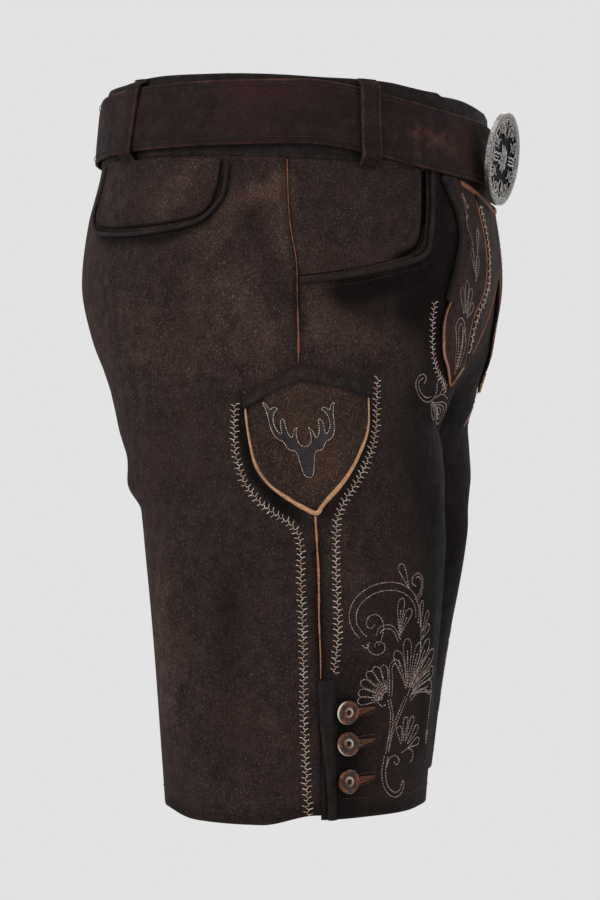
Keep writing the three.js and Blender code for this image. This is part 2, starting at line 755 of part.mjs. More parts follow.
add("side_piping_left", sidePiping(left, bandBottom - 1.5, slitTop + 1), "tan");
add("flap", flapPanel(), "leather");
add("flap_binding_top", middleBinding(86, flapTop, 14), "tan");
add("flap_binding_foot", middleBinding(64, (c) => flapFoot(c) + 3.2, 12), "tan");
add("back_pocket", backPocketPatch(), "leather");
add("back_pocket_piping", backPocketPiping(), "leatherDark");
add("shield_face", shieldFace(), "leather");
add("shield_band", shieldBand(), "leatherDark");
add("shield_binding", shieldBinding(), "tan");
add("stag_head", stagHead(), "suede");
add("belt", beltStrap(), "belt");
add("buckle_plate", bucklePlate(), "silver");
add("buckle_bar", buckleBar(), "silver");

export default lederhosen;
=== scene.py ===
import bpy
import bmesh
import math
import numpy as np
from mathutils import Matrix, Vector
from mathutils.geometry import delaunay_2d_cdt


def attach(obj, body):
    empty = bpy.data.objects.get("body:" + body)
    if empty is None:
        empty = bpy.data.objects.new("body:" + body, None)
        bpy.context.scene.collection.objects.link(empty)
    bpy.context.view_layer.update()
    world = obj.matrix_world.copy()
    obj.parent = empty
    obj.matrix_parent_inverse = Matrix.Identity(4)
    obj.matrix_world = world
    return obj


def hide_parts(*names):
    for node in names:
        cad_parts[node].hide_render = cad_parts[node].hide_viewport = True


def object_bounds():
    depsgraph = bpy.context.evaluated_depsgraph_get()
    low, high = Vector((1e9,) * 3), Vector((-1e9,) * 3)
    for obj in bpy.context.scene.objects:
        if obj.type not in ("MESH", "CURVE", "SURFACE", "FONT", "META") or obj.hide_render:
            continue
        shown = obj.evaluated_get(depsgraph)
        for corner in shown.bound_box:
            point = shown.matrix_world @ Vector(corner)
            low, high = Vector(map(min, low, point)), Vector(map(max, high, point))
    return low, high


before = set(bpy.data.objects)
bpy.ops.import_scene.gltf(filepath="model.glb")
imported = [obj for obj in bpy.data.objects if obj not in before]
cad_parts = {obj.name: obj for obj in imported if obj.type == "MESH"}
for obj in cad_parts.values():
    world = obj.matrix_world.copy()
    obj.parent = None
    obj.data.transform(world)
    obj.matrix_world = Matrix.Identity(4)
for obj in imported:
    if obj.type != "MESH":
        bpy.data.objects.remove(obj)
cadBox = [list(corner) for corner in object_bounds()]
print("frame loaded:", len(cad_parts), "nodes")

rightSide, leftSide = -1, 1
mm = 0.001
rng = np.random.default_rng(7)

# the form: same sections as the frame's panels, in millimetres

formColumns = ("z", "half", "front", "back", "mixFront", "mixBack", "drop",
               "legX", "legY", "legFront", "legBack", "legHalf", "seam", "tilt", "stride")
formRows = np.array([
    (28, 165.6, 141, 141, 0, 0, 0, 99, -12, 112, 125, 98, 6.5, 0.05, 0),
    (-31, 171, 144, 147, 0, 0, 0, 99, -12, 112, 128, 98, 6.5, 0.045, 0),
    (-75, 180, 149, 157, 0, 0, 0, 99, -12, 112, 130, 98, 7.5, 0.04, 0),
    (-115, 187, 152, 161, 0.02, 0, 0, 99, -12, 112, 132, 98, 9.5, 0.02, 0),
    (-155, 192, 152, 155, 0.1, 0.02, 0, 99, -12, 113, 132, 98, 10, 0.01, 0),
    (-195, 196, 147, 146, 0.3, 0.12, 0, 99, -12, 113, 132, 98, 11, 0, 0),
    (-232, 198, 142, 138, 0.68, 0.4, 1, 99, -12, 112, 129, 98, 13.5, 0, 2),
    (-262, 199, 138, 130, 1, 1, 8, 99.5, -13, 110, 120, 98.5, 15, 0, 4),
    (-280, 200, 134, 126, 1, 1, 4, 100, -13, 109, 110, 98.5, 16, 0, 4.5),
    (-300, 200, 134, 126, 1, 1, 0, 101.5, -14, 108, 109, 98.5, 16.5, 0, 5),
    (-396, 200, 134, 126, 1, 1, 0, 104, -15, 101, 102, 96, 18.5, 0, 15),
    (-496, 200, 134, 126, 1, 1, 0, 106, -14, 94, 92, 94, 21, 0, 22),
], float)
bandTop, bandBottom, hemLevel, slitTop, forkLevel = 28.0, -31.0, -496.0, -396.0, -262.0
seamGap = 0.0  # the panels meet edge to edge
leather = 1.6
torsoRoundness, legRoundness = 2.25, 2.1
levelStep = 2.0
levels = np.arange(bandTop, hemLevel - 0.1, -levelStep)
panelSamples = 260


def smooth(low, high, value):
    t = np.clip((value - low) / (high - low), 0, 1)
    return t * t * (3 - 2 * t)


def hump(value, middle, reach):
    # 1 at the middle, falling softly to 0 on both sides
    return np.exp(-((value - middle) / reach) ** 2)


def sectionsAt(z):
    depth = -formRows[:, 0]
    x = np.clip(-np.atleast_1d(z), depth[0], depth[-1])
    rise = np.diff(formRows, axis=0) / np.diff(depth)[:, None]
    slope = np.zeros_like(formRows)
    slope[0], slope[-1] = rise[0], rise[-1]
    both = rise[:-1] * rise[1:]
    total = rise[:-1] + rise[1:]
    slope[1:-1] = np.where(both > 0, 2 * both / np.where(total == 0, 1, total), 0)
    i = np.clip(np.searchsorted(depth, x, side="right") - 1, 0, len(depth) - 2)
    span = (depth[i + 1] - depth[i])[:, None]
    t = (x - depth[i])[:, None] / span
    start = 2 * t ** 3 - 3 * t ** 2 + 1
    rows = (start * formRows[i] + (1 - start) * formRows[i + 1]
            + (t ** 3 - 2 * t ** 2 + t) * span * slope[i] + (t ** 3 - t ** 2) * span * slope[i + 1])
    return {name: rows[:, k:k + 1] for k, name in enumerate(formColumns)}


def signedPower(value, power):
    return np.sign(value) * np.abs(value) ** power


def panelRows(rows, facing):
    # half sections of the right side, from the side seam inwards, evenly spaced along the leather
    u = np.linspace(0, 1, 640)[None, :]
    seam = np.radians(rows["seam"]) * -facing
    torsoAngle = seam + (np.pi / 2 - seam) * u
    legAngle = seam + (np.pi - seam) * u
    mix = rows["mixFront"] if facing < 0 else rows["mixBack"]
    torsoDepth = rows["front"] if facing < 0 else np.where(torsoAngle < 0, rows["front"], rows["back"])
    legDepth = rows["legFront"] if facing < 0 else np.where(legAngle < 0, rows["legFront"], rows["legBack"])
    torsoX = -rows["half"] * signedPower(np.cos(torsoAngle), 2 / torsoRoundness)
    torsoX[:, -1] = 0
    torsoY = facing * torsoDepth * signedPower(np.sin(torsoAngle), 2 / torsoRoundness)
    legX = -rows["legX"] - rows["legHalf"] * signedPower(np.cos(legAngle), 2 / legRoundness)
    legY = rows["legY"] + facing * legDepth * signedPower(np.sin(legAngle), 2 / legRoundness)
    x = torsoX * (1 - mix) + legX * mix
    y = torsoY * (1 - mix) + legY * mix
    z = rows["z"] + rows["tilt"] * y - rows["drop"] * u * u
    points = np.stack([x, y, z], -1)
    travelled = np.cumsum(np.linalg.norm(np.diff(points, axis=1), axis=2), axis=1)
    travelled = np.concatenate([np.zeros((len(points), 1)), travelled], 1)
    even = np.empty((len(points), panelSamples, 3))
    for row in range(len(points)):
        places = np.linspace(0, travelled[row, -1], panelSamples)
        for axis in range(3):
            even[row, :, axis] = np.interp(places, travelled[row], points[row, :, axis])
    return even, travelled[:, -1]


formSections = sectionsAt(levels)
frontRows, frontLengths = panelRows(formSections, -1)
backRows, backLengths = panelRows(formSections, 1)


def frontLength(z):
    return np.interp(-np.asarray(z, float), -levels, frontLengths)


def backLength(z):
    return np.interp(-np.asarray(z, float), -levels, backLengths)


def bothPanels(side):
    # one grid from the middle of the back over the side seam to the middle of the front
    points = np.concatenate([backRows[:, :0:-1], frontRows], 1).copy()
    joined = (levels > forkLevel)[:, None]
    across = np.linspace(-1, 1, points.shape[1])[None, :]
    share = np.abs(across)
    # above the fork both legs meet in the middle seam
    for end, here in ((0, across < 0), (-1, across > 0)):
        away = points[:, end, 0][:, None] * smooth(0.9, 1, share)
        points[..., 0] -= np.where(joined & here, away, 0)
    if side == leftSide:
        points[..., 0] *= -1
        points[..., 1] += formSections["stride"]
    along = np.gradient(points, axis=1)
    up = -np.gradient(points, axis=0)
    normals = np.cross(along, up) * -side
    normals[..., 0] *= np.where(joined, smooth(1, 0.985, share), 1)
    normals /= np.linalg.norm(normals, axis=2, keepdims=True)
    return points, normals


grids = {side: bothPanels(side) for side in (rightSide, leftSide)}


def gridRead(grid, s, z):
    s, z = np.broadcast_arrays(np.asarray(s, float), np.asarray(z, float))
    share = np.where(s < 0, s / backLength(z), s / frontLength(z))
    column = np.clip((share + 1) * (panelSamples - 1), 0, 2 * panelSamples - 2.001)
    row = np.clip((bandTop - z) / levelStep, 0, len(levels) - 1.001)
    c, r = column.astype(int), row.astype(int)
    fc, fr = (column - c)[..., None], (row - r)[..., None]
    return ((grid[r, c] * (1 - fc) + grid[r, c + 1] * fc) * (1 - fr)
            + (grid[r + 1, c] * (1 - fc) + grid[r + 1, c + 1] * fc) * fr)


def readTable(table, at):
    rows = np.array(table, float)
    return np.interp(at, rows[:, 0], rows[:, 1])


def distanceTo(path, s, z):
    # nearest distance from each (s, z) to a path, and how far along the path that is, from 0 to 1
    path = np.array(path, float)
    best = np.full(np.shape(s), 1e9)
    share = np.zeros(np.shape(s))
    count = len(path) - 1
    for k in range(count):
        step = path[k + 1] - path[k]
        t = np.clip(((s - path[k, 0]) * step[0] + (z - path[k, 1]) * step[1]) / (step @ step), 0, 1)
        away = np.hypot(s - path[k, 0] - t * step[0], z - path[k, 1] - t * step[1])
        share = np.where(away < best, (k + t) / count, share)
        best = np.minimum(best, away)
    return best, share


# creases: soft ridges (+) and troughs (-) pressed into the leather
# each is the side it belongs to, height in mm, half width in mm, and its line as (s, z) points

creases = [
    ("both", 1.9, 7, [(-84, -104), (-56, -80), (-34, -58), (-16, -40)]),
    ("both", 1.2, 6, [(-100, -52), (-92, -42), (-84, -34)]),
    ("both", -1.1, 5, [(-84, -70), (-70, -52), (-60, -34)]),
    ("both", 1.1, 6, [(-78, -66), (-64, -50), (-52, -38)]),
    ("both", -1.0, 6, [(-150, -70), (-130, -54), (-112, -38)]),
    ("both", 0.9, 7, [(-140, -76), (-116, -58), (-100, -44)]),
    ("both", -1.4, 7, [(-100, -112), (-66, -96), (-36, -74), (-14, -56)]),
    ("both", -1.5, 11, [(-30, -62), (-14, -100), (-8, -150)]),
    ("both", 1.1, 12, [(-60, -100), (-34, -140), (-24, -175)]),
    ("both", -1.2, 13, [(-110, -95), (-88, -140), (-80, -185)]),
    ("both", 1.2, 16, [(-170, -96), (-150, -130), (-120, -150)]),
    ("both", -1.4, 12, [(-262, -150), (-210, -186), (-150, -204)]),
    ("both", 1.3, 12, [(-300, -196), (-240, -216), (-170, -228)]),
    ("both", -2.2, 9, [(-330, -226), (-270, -244), (-205, -250), (-160, -246)]),
    ("both", 1.7, 10, [(-320, -246), (-262, -262), (-200, -266)]),
    ("both", -3.0, 8, [(-345, -262), (-290, -276), (-232, -282), (-180, -278)]),
    ("both", -1.6, 10, [(-300, -300), (-262, -322), (-214, -336)]),
    ("both", 1.8, 16, [(-250, -296), (-238, -360), (-232, -440), (-236, -490)]),
    ("both", -1.9, 15, [(-196, -300), (-188, -370), (-192, -450), (-196, -494)]),
    ("both", 1.3, 18, [(-120, -290), (-128, -360), (-124, -450)]),
    ("both", -1.4, 14, [(-62, -300), (-70, -370), (-66, -440), (-74, -494)]),
    ("both", 1.0, 12, [(-30, -300), (-36, -380), (-30, -470)]),
    ("both", -1.2, 12, [(14, -132), (48, -142), (86, -134), (112, -118)]),
    ("both", 1.1, 13, [(20, -154), (60, -166), (104, -160)]),
    ("both", -1.3, 14, [(72, -190), (112, -214), (160, -222)]),
    ("both", -2.4, 9, [(232, -196), (200, -214), (158, -222), (120, -214)]),
    ("both", 1.9, 9, [(250, -216), (212, -232), (170, -238)]),
    ("both", -2.2, 9, [(266, -240), (226, -252), (182, -252)]),
    ("both", -1.5, 12, [(240, -280), (214, -300), (190, -340)]),
    ("both", 1.8, 16, [(150, -262), (146, -330), (152, -420), (150, -490)]),
    ("both", -1.8, 14, [(186, -270), (182, -350), (190, -450)]),
    ("both", -1.1, 13, [(104, -250), (98, -320), (92, -390), (88, -470)]),
    ("right", 0.8, 8, [(60, -300), (52, -350), (46, -400)]),
    ("left", 1.5, 10, [(-20, -190), (10, -230), (14, -290)]),
    ("left", -1.4, 10, [(26, -180), (38, -250), (30, -330)]),
    ("left", 1.2, 12, [(-40, -240), (-52, -300), (-48, -370)]),
    ("left", -1.3, 8, [(-180, -60), (-120, -76), (-70, -70)]),
    ("left", 1.2, 9, [(-190, -80), (-130, -98), (-80, -96)]),
]


def fold(side, s, z):
    total = np.zeros(np.shape(s))
    for which, height, width, line in creases:
        if which == "right" and side == leftSide or which == "left" and side == rightSide:
            continue
        away, share = distanceTo(line, s, z)
        ends = smooth(0, 0.22, share) * smooth(0, 0.22, 1 - share)
        total += height * ends * hump(away, 0, width)
    calm = smooth(bandBottom + 2, bandBottom - 40, z)
    hem = hump(z, hemLevel, 26)
    sway = (0.9 * np.sin(s / 31 + z / 57 + side) + 0.6 * np.sin(s / 17 - z / 43)
            + 0.35 * np.sin(s / 9.5 + z / 29 + 2 * side))
    return 1.3 * total * calm + sway * (0.6 * calm + 0.5 * hem)


def onLeather(side, s, z, lift):
    s, z, lift = np.broadcast_arrays(np.asarray(s, float), np.asarray(z, float), np.asarray(lift, float))
    points, normals = grids[side]
    place = gridRead(points, s, z)
    out = gridRead(normals, s, z)
    out /= np.linalg.norm(out, axis=-1, keepdims=True)
    return place + out * (lift + fold(side, s, z))[..., None], out


def fromMiddle(c, z):
    return frontLength(z) - np.maximum(c, 0)


# meshes

def putInScene(name, vertices, faces, material, attributes=None, flat=()):
    mesh = bpy.data.meshes.new(name)
    mesh.from_pydata((np.asarray(vertices) * mm).tolist(), [], faces)
    for label, values in (attributes or {}).items():
        layer = mesh.attributes.new(label, "FLOAT", "POINT")
        layer.data.foreach_set("value", np.asarray(values, np.float32).ravel())
    shade = np.ones(len(mesh.polygons), bool)
    shade[list(flat)] = False
    mesh.polygons.foreach_set("use_smooth", shade)
    mesh.update()
    piece = bpy.data.objects.new(name, mesh)
    bpy.context.scene.collection.objects.link(piece)
    for entry in material if isinstance(material, (list, tuple)) else [material]:
        mesh.materials.append(entry)
    return piece


def turnOut(piece):
    work = bmesh.new()
    work.from_mesh(piece.data)
    bmesh.ops.remove_doubles(work, verts=work.verts, dist=2e-6)
    bmesh.ops.dissolve_degenerate(work, dist=1e-7, edges=work.edges)
    if work.calc_volume(signed=True) < 0:
        bmesh.ops.reverse_faces(work, faces=work.faces)
    work.to_mesh(piece.data)
    work.free()


def finishPiece(piece, slotName, *nodes):
    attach(piece, "root")
    if nodes:
        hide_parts(*nodes)
    return piece


def closedWall(name, inner, outer, material, attributes=None):
    # two matching grids of points, joined round their rim into one closed wall
    rows, columns = outer.shape[:2]
    count = rows * columns
    index = np.arange(count).reshape(rows, columns)
    a, b, c, d = index[:-1, :-1], index[:-1, 1:], index[1:, 1:], index[1:, :-1]
    skin = np.stack([a, b, c, d], -1).reshape(-1, 4)
    lining = np.stack([a, d, c, b], -1).reshape(-1, 4) + count
    rim = np.concatenate([index[0, :-1], index[:-1, -1], index[-1, :0:-1], index[:0:-1, 0]])
    ahead = np.roll(rim, -1)
    edge = np.stack([ahead, rim, rim + count, ahead + count], -1)
    faces = np.concatenate([skin, lining, edge]).tolist()
    values = {label: np.concatenate([v.ravel(), v.ravel()]) for label, v in (attributes or {}).items()}
    piece = putInScene(name, np.concatenate([outer.reshape(-1, 3), inner.reshape(-1, 3)]), faces,
                       material, values)
    mark = np.zeros(len(faces), int)
    if isinstance(material, (list, tuple)):
        mark[len(skin):len(skin) + len(lining)] = 1
        mark[len(skin) + len(lining):] = len(material) - 1
        piece.data.polygons.foreach_set("material_index", mark)
    turnOut(piece)
    return piece


def leatherWall(name, side, s, z, low, high, material, attributes=None):
    outer, _ = onLeather(side, s, z, high)
    inner, _ = onLeather(side, s, z, low)
    return closedWall(name, inner, outer, material, attributes)


rimSteps = (0, 0.4, 1, 1.9, 3.2)


def closePacked(length, step, edges=(0, 0.35, 0.9, 1.8, 3.2, 5.2)):
    # shares from 0 to 1 of a length in mm, packed close at both ends so that edges can be rounded
    middle = np.arange(edges[-1] + step, length - edges[-1] - step / 2, step)
    return np.concatenate([edges, middle, length - np.array(edges[::-1])]) / length


def edgeFall(distance, depth, reach):
    t = np.clip(distance / reach, 0, 1)
    return -depth * (1 - np.sqrt(1 - (1 - t) ** 2))


def joinGeometry(parts):
    vertices, faces, start = [], [], 0
    for points, polygons in parts:
        vertices.append(points)
        faces.extend(tuple(corner + start for corner in polygon) for polygon in polygons)
        start += len(points)
    return np.concatenate(vertices), faces


def tubeAlong(points, normals, radius, sides=10, flatten=1.0):
    # a round or flattened cord along points, its ends closed
    points = np.asarray(points)
    radius = np.broadcast_to(radius, len(points))
    along = np.gradient(points, axis=0)
    along /= np.linalg.norm(along, axis=1, keepdims=True)
    across = np.cross(along, normals)
    across /= np.linalg.norm(across, axis=1, keepdims=True)
    out = np.cross(across, along)
    angle = np.linspace(0, 2 * np.pi, sides, endpoint=False)
    ring = (across[:, None] * np.cos(angle)[None, :, None]
            + out[:, None] * np.sin(angle)[None, :, None] * flatten)
    vertices = (points[:, None] + ring * radius[:, None, None]).reshape(-1, 3)
    faces = []
    for i in range(len(points) - 1):
        for k in range(sides):
            a, b = i * sides + k, i * sides + (k + 1) % sides
            faces.append((a, b, b + sides, a + sides))
    faces.append(tuple(range(sides))[::-1])
    faces.append(tuple(range((len(points) - 1) * sides, len(points) * sides)))
    return vertices, faces


def evenPath(path, step):
    # a smooth curve through (s, z) points, read at even steps
    path = np.array(path, float)
    padded = np.concatenate([[2 * path[0] - path[1]], path, [2 * path[-1] - path[-2]]])
    pieces = []
    for k in range(1, len(padded) - 2):
        p0, p1, p2, p3 = padded[k - 1:k + 3]
        t = np.linspace(0, 1, 24, endpoint=False)[:, None]
        pieces.append(0.5 * (2 * p1 + (p2 - p0) * t + (2 * p0 - 5 * p1 + 4 * p2 - p3) * t ** 2
                             + (3 * p1 - p0 - 3 * p2 + p3) * t ** 3))
    curve = np.concatenate([*pieces, path[-1:]])
    return evenSteps(curve, step)


def evenSteps(curve, step):
    curve = np.asarray(curve, float)
    travelled = np.concatenate([[0], np.cumsum(np.linalg.norm(np.diff(curve, axis=0), axis=1))])
    count = max(int(round(travelled[-1] / step)), 1)
    places = np.linspace(0, travelled[-1], count + 1)
    return np.stack([np.interp(places, travelled, curve[:, k]) for k in range(curve.shape[1])], -1)


def cordOnLeather(name, side, path, radius, lift, material, step=1.6, sides=10, flatten=1.0, wobble=0.0):
    route = evenPath(path, step)
    place, out = onLeather(side, route[:, 0], route[:, 1], lift)
    size = radius * (1 + wobble * np.sin(np.arange(len(route)) * 0.9) * np.sin(np.arange(len(route)) * 0.23))
    piece = putInScene(name, *tubeAlong(place, out, size, sides, flatten), material)
    turnOut(piece)
    return piece


# finishes

class Value:
    # a socket that can be added, subtracted and multiplied in an expression

    def __init__(self, finish, socket):
        self.finish = finish
        self.socket = socket

    def sum(self, operation, first, second):
        return self.finish.node("ShaderNodeMath", {"operation": operation}, {0: first, 1: second})

    def __add__(self, other):
        return self.sum("ADD", self, other)

    def __radd__(self, other):
        return self.sum("ADD", other, self)

    def __sub__(self, other):
        return self.sum("SUBTRACT", self, other)

    def __rsub__(self, other):
        return self.sum("SUBTRACT", other, self)

    def __mul__(self, other):
        return self.sum("MULTIPLY", self, other)

    def __rmul__(self, other):
        return self.sum("MULTIPLY", other, self)


class Finish:
    def __init__(self, name):
        self.material = bpy.data.materials.new(name)
        self.material.use_nodes = True
        self.tree = self.material.node_tree
        self.tree.nodes.clear()
        self.place = self.node("ShaderNodeTexCoord", outlet="Object")

    def node(self, kind, settings=None, values=None, outlet=0):
        made = self.tree.nodes.new(kind)
        for name, setting in (settings or {}).items():
            setattr(made, name, setting)
        for name, value in (values or {}).items():
            if isinstance(value, Value):
                self.tree.links.new(value.socket, made.inputs[name])
            else:
                made.inputs[name].default_value = value
        return Value(self, made.outputs[outlet]) if len(made.outputs) else None

    def noise(self, scale, detail, rough=0.55):
        return self.node("ShaderNodeTexNoise", None, {
            "Vector": self.place, "Scale": scale, "Detail": detail, "Roughness": rough})

    def between(self, value, low, high):
        # 0 under low, 1 over high
        return self.node("ShaderNodeMapRange", {"interpolation_type": "SMOOTHSTEP"}, {
            "Value": value, "From Min": low, "From Max": high})

    def shift(self, share, first, second):
        # from the first colour to the second as share goes from 0 to 1
        return self.node("ShaderNodeMix", {"data_type": "RGBA"}, {0: share, 6: first, 7: second}, outlet=2)

    def mark(self, name):
        return self.node("ShaderNodeAttribute", {"attribute_name": name}, outlet="Fac")

    def bump(self, height, strength, distance, normal=None):
        values = {"Strength": strength, "Distance": distance, "Height": height}
        if normal:
            values["Normal"] = normal
        return self.node("ShaderNodeBump", None, values)

    def surface(self, colour, roughness, normal, **constants):
        values = {"Base Color": colour, "Roughness": roughness, "Normal": normal}
        values.update({name.replace("_", " "): value for name, value in constants.items()})
        shader = self.node("ShaderNodeBsdfPrincipled", None, values)
        self.node("ShaderNodeOutputMaterial", None, {"Surface": shader})
        return self.material


def srgb(red, green, blue):
    def linear(value):
        value /= 255
        return value / 12.92 if value <= 0.04045 else ((value + 0.055) / 1.055) ** 2.4
    return (linear(red), linear(green), linear(blue), 1)


def leatherFinish(name, look):
    f = Finish(name)
    nap = f.noise(820, 4, 0.72)
    mottle = f.noise(105, 5, 0.62)
    cloud = f.noise(15, 3, 0.55)
    stain = f.noise(33, 3, 0.5)
    worn = f.mark("worn")
    paintedShadeAndTone = f.mark("paintedShadeAndTone")
    colour = f.shift(f.between(mottle, 0.3, 0.7), srgb(*look["dark"]), srgb(*look["base"]))
    colour = f.shift(f.between(cloud, 0.44, 0.68) * look["cloud"], colour, srgb(*look["warm"]))
    colour = f.shift(f.between(stain, 0.52, 0.74) * look["stain"], colour, srgb(*look["grey"]))
    # patina follows the worn attribute: real wear, and on crease ridges a painted highlight
    patina = f.between(worn + (mottle - 0.5) * 0.9 + (stain - 0.5) * 0.6, 0.1, 1.1)
    colour = f.shift(patina * 0.8, colour, srgb(*look["patina"]))
    flecks = f.between(nap, 0.55, 0.7)
    colour = f.shift(flecks * (look["flecks"] + worn * 0.45), colour, srgb(*look["fleck"]))
    colour = f.shift(f.between(nap, 0.5, 0.36) * 0.6, colour, srgb(*look["pit"]))
    # painted shade: mixed towards the deep colour where the shade attribute is high, over an evenly darker
    # tone on some pieces
    colour = f.shift(f.between(paintedShadeAndTone + (mottle - 0.5) * 0.35, 0.0, 1.0) * 0.92, colour, srgb(*look["deep"]))
    grain = f.noise(1700, 2, 0.6)
    wrinkle = f.noise(190, 4, 0.55)
    normal = f.bump(grain * 0.4 + nap * 0.6, look["nap"], 0.0007)
    normal = f.bump(wrinkle, look["wrinkle"], 0.0016, normal)
    rough = 0.94 - f.between(mottle, 0.35, 0.75) * look["gloss"]
    return f.surface(colour, rough, normal, Specular_IOR_Level=look["shine"],
                     Sheen_Weight=look["sheen"], Sheen_Roughness=0.5, Sheen_Tint=srgb(*look["sheenTint"]))


# deep is the colour of painted shade
oldLeather = {
    "dark": (37, 28, 27), "base": (50, 38, 37), "warm": (58, 41, 37), "grey": (46, 41, 43),
    "patina": (76, 57, 48), "fleck": (138, 116, 102), "pit": (18, 13, 13), "deep": (11, 8, 8),
    "cloud": 0.55, "stain": 0.4, "flecks": 0.3, "nap": 1.0, "wrinkle": 0.85, "gloss": 0.2,
    "shine": 0.08, "sheen": 0.015, "sheenTint": (150, 120, 105),
}
leatherSkin = leatherFinish("old_leather", oldLeather)
leatherLining = leatherFinish("leather_flesh_side", {
    **oldLeather, "dark": (52, 42, 35), "base": (72, 58, 48), "warm": (80, 62, 48), "patina": (96, 74, 56),
    "nap": 1.0, "cloud": 0.3, "sheen": 0.05})
leatherDark = leatherFinish("dark_leather", {
    **oldLeather, "dark": (25, 20, 20), "base": (36, 29, 29), "warm": (42, 31, 30), "grey": (40, 37, 38),
    "patina": (86, 66, 56), "stain": 0.5, "flecks": 0.12, "gloss": 0.25, "shine": 0.16})
loopSkin = leatherFinish("loop_leather", {
    **oldLeather, "dark": (33, 24, 25), "base": (45, 33, 34), "warm": (52, 36, 36), "grey": (42, 37, 39),
    "patina": (104, 76, 68), "flecks": 0.16, "nap": 1.0})
shieldSkin = leatherFinish("rubbed_leather", {
    **oldLeather, "dark": (42, 31, 28), "base": (56, 41, 36), "warm": (64, 46, 38), "patina": (80, 58, 47),
    "fleck": (150, 122, 104), "flecks": 0.4, "cloud": 0.6, "wrinkle": 1.0})
beltSkin = leatherFinish("belt_leather", {
    **oldLeather, "dark": (30, 20, 21), "base": (40, 28, 29), "warm": (52, 30, 29), "grey": (37, 33, 36),
    "patina": (118, 78, 62), "fleck": (120, 90, 82), "flecks": 0.1, "stain": 0.35, "nap": 0.6,
    "wrinkle": 0.4, "gloss": 0.2, "shine": 0.12, "cloud": 0.8})
suedeSkin = leatherFinish("charcoal_suede", {
    **oldLeather, "dark": (40, 37, 39), "base": (58, 54, 57), "warm": (62, 55, 55), "grey": (66, 64, 68),
    "fleck": (104, 98, 98), "flecks": 0.12, "nap": 1.2, "gloss": 0.05, "shine": 0.05})


def edgeFinish(name, light, dark, grime):
    # the pale, roughly cut edge of thick leather
    f = Finish(name)
    fine = f.noise(900, 3, 0.65)
    long = f.noise(70, 3, 0.6)
    colour = f.shift(f.between(fine, 0.35, 0.65), srgb(*dark), srgb(*light))
    colour = f.shift(f.between(long, 0.5, 0.68) * grime, colour, srgb(58, 42, 34))
    normal = f.bump(fine, 0.6, 0.0006)
    return f.surface(colour, 0.85, normal, Specular_IOR_Level=0.15, Sheen_Weight=0.05)


tanEdge = edgeFinish("tan_edge", (206, 158, 118), (164, 116, 82), 0.35)
tanEdgeWorn = edgeFinish("tan_edge_worn", (150, 98, 68), (98, 62, 44), 0.9)
flapEdge = edgeFinish("flap_edge", (186, 128, 90), (136, 88, 60), 0.6)


def threadFinish(name, light, dark, spot):
    f = Finish(name)
    along = f.noise(420, 2, 0.5)
    strands = f.noise(3200, 1, 0.5)
    colour = f.shift(f.between(along, 0.38, 0.62), srgb(*dark), srgb(*light))
    colour = f.shift(f.between(f.noise(150, 1), 0.52, 0.66), colour, srgb(*spot))
    return f.surface(colour, 0.75, f.bump(strands, 0.5, 0.0003), Specular_IOR_Level=0.25,
                     Sheen_Weight=0.15, Sheen_Roughness=0.4)


creamThread = threadFinish("cream_thread", (228, 212, 194), (164, 138, 122), (190, 150, 138))
greyThread = threadFinish("faded_thread", (176, 158, 150), (124, 106, 100), (140, 112, 102))
darkThread = threadFinish("dark_thread", (32, 26, 26), (18, 15, 15), (46, 34, 31))
brownThread = threadFinish("brown_thread", (124, 88, 66), (84, 60, 50), (96, 66, 52))


def silverFinish():
    f = Finish("antique_silver")
    hollow = f.mark("hollow")
    fine = f.noise(700, 3, 0.6)
    large = f.noise(60, 2)
    colour = f.shift(f.between(fine, 0.35, 0.7), srgb(112, 108, 106), srgb(178, 175, 172))
    colour = f.shift(f.between(large, 0.5, 0.75) * 0.35, colour, srgb(100, 92, 84))
    colour = f.shift(hollow, colour, srgb(10, 9, 9))
    rough = 0.27 + hollow * 0.5 + f.between(fine, 0.4, 0.7) * 0.08
    return f.surface(colour, rough, f.bump(fine, 0.1, 0.0003), Metallic=0.95, Specular_IOR_Level=0.5)


silverSkin = silverFinish()


def hornFinish():
    f = Finish("horn")
    rim = f.mark("rim")
    pale = f.mark("pale")
    grain = f.node("ShaderNodeTexWave", {"bands_direction": "DIAGONAL"}, {
        "Vector": f.place, "Scale": 60.0, "Distortion": 7.0, "Detail": 3.0, "Detail Scale": 2.0})
    cloud = f.noise(240, 3, 0.6)
    colour = f.shift(f.between(cloud, 0.4, 0.62), srgb(40, 20, 12), srgb(128, 66, 26))
    colour = f.shift(f.node("ShaderNodeSeparateColor", None, {"Color": grain}) * 0.5, colour,
                     srgb(48, 24, 14))
    # rim darkens the groove and the hole as painted shade; pale is the bone nub and a painted highlight on
    # one side of the outer wall
    colour = f.shift(rim, colour, srgb(28, 14, 9))
    colour = f.shift(pale, colour, srgb(226, 212, 198))
    return f.surface(colour, 0.3, f.bump(cloud, 0.15, 0.0004), Specular_IOR_Level=0.35)


hornSkin = hornFinish()
print("finishes made")
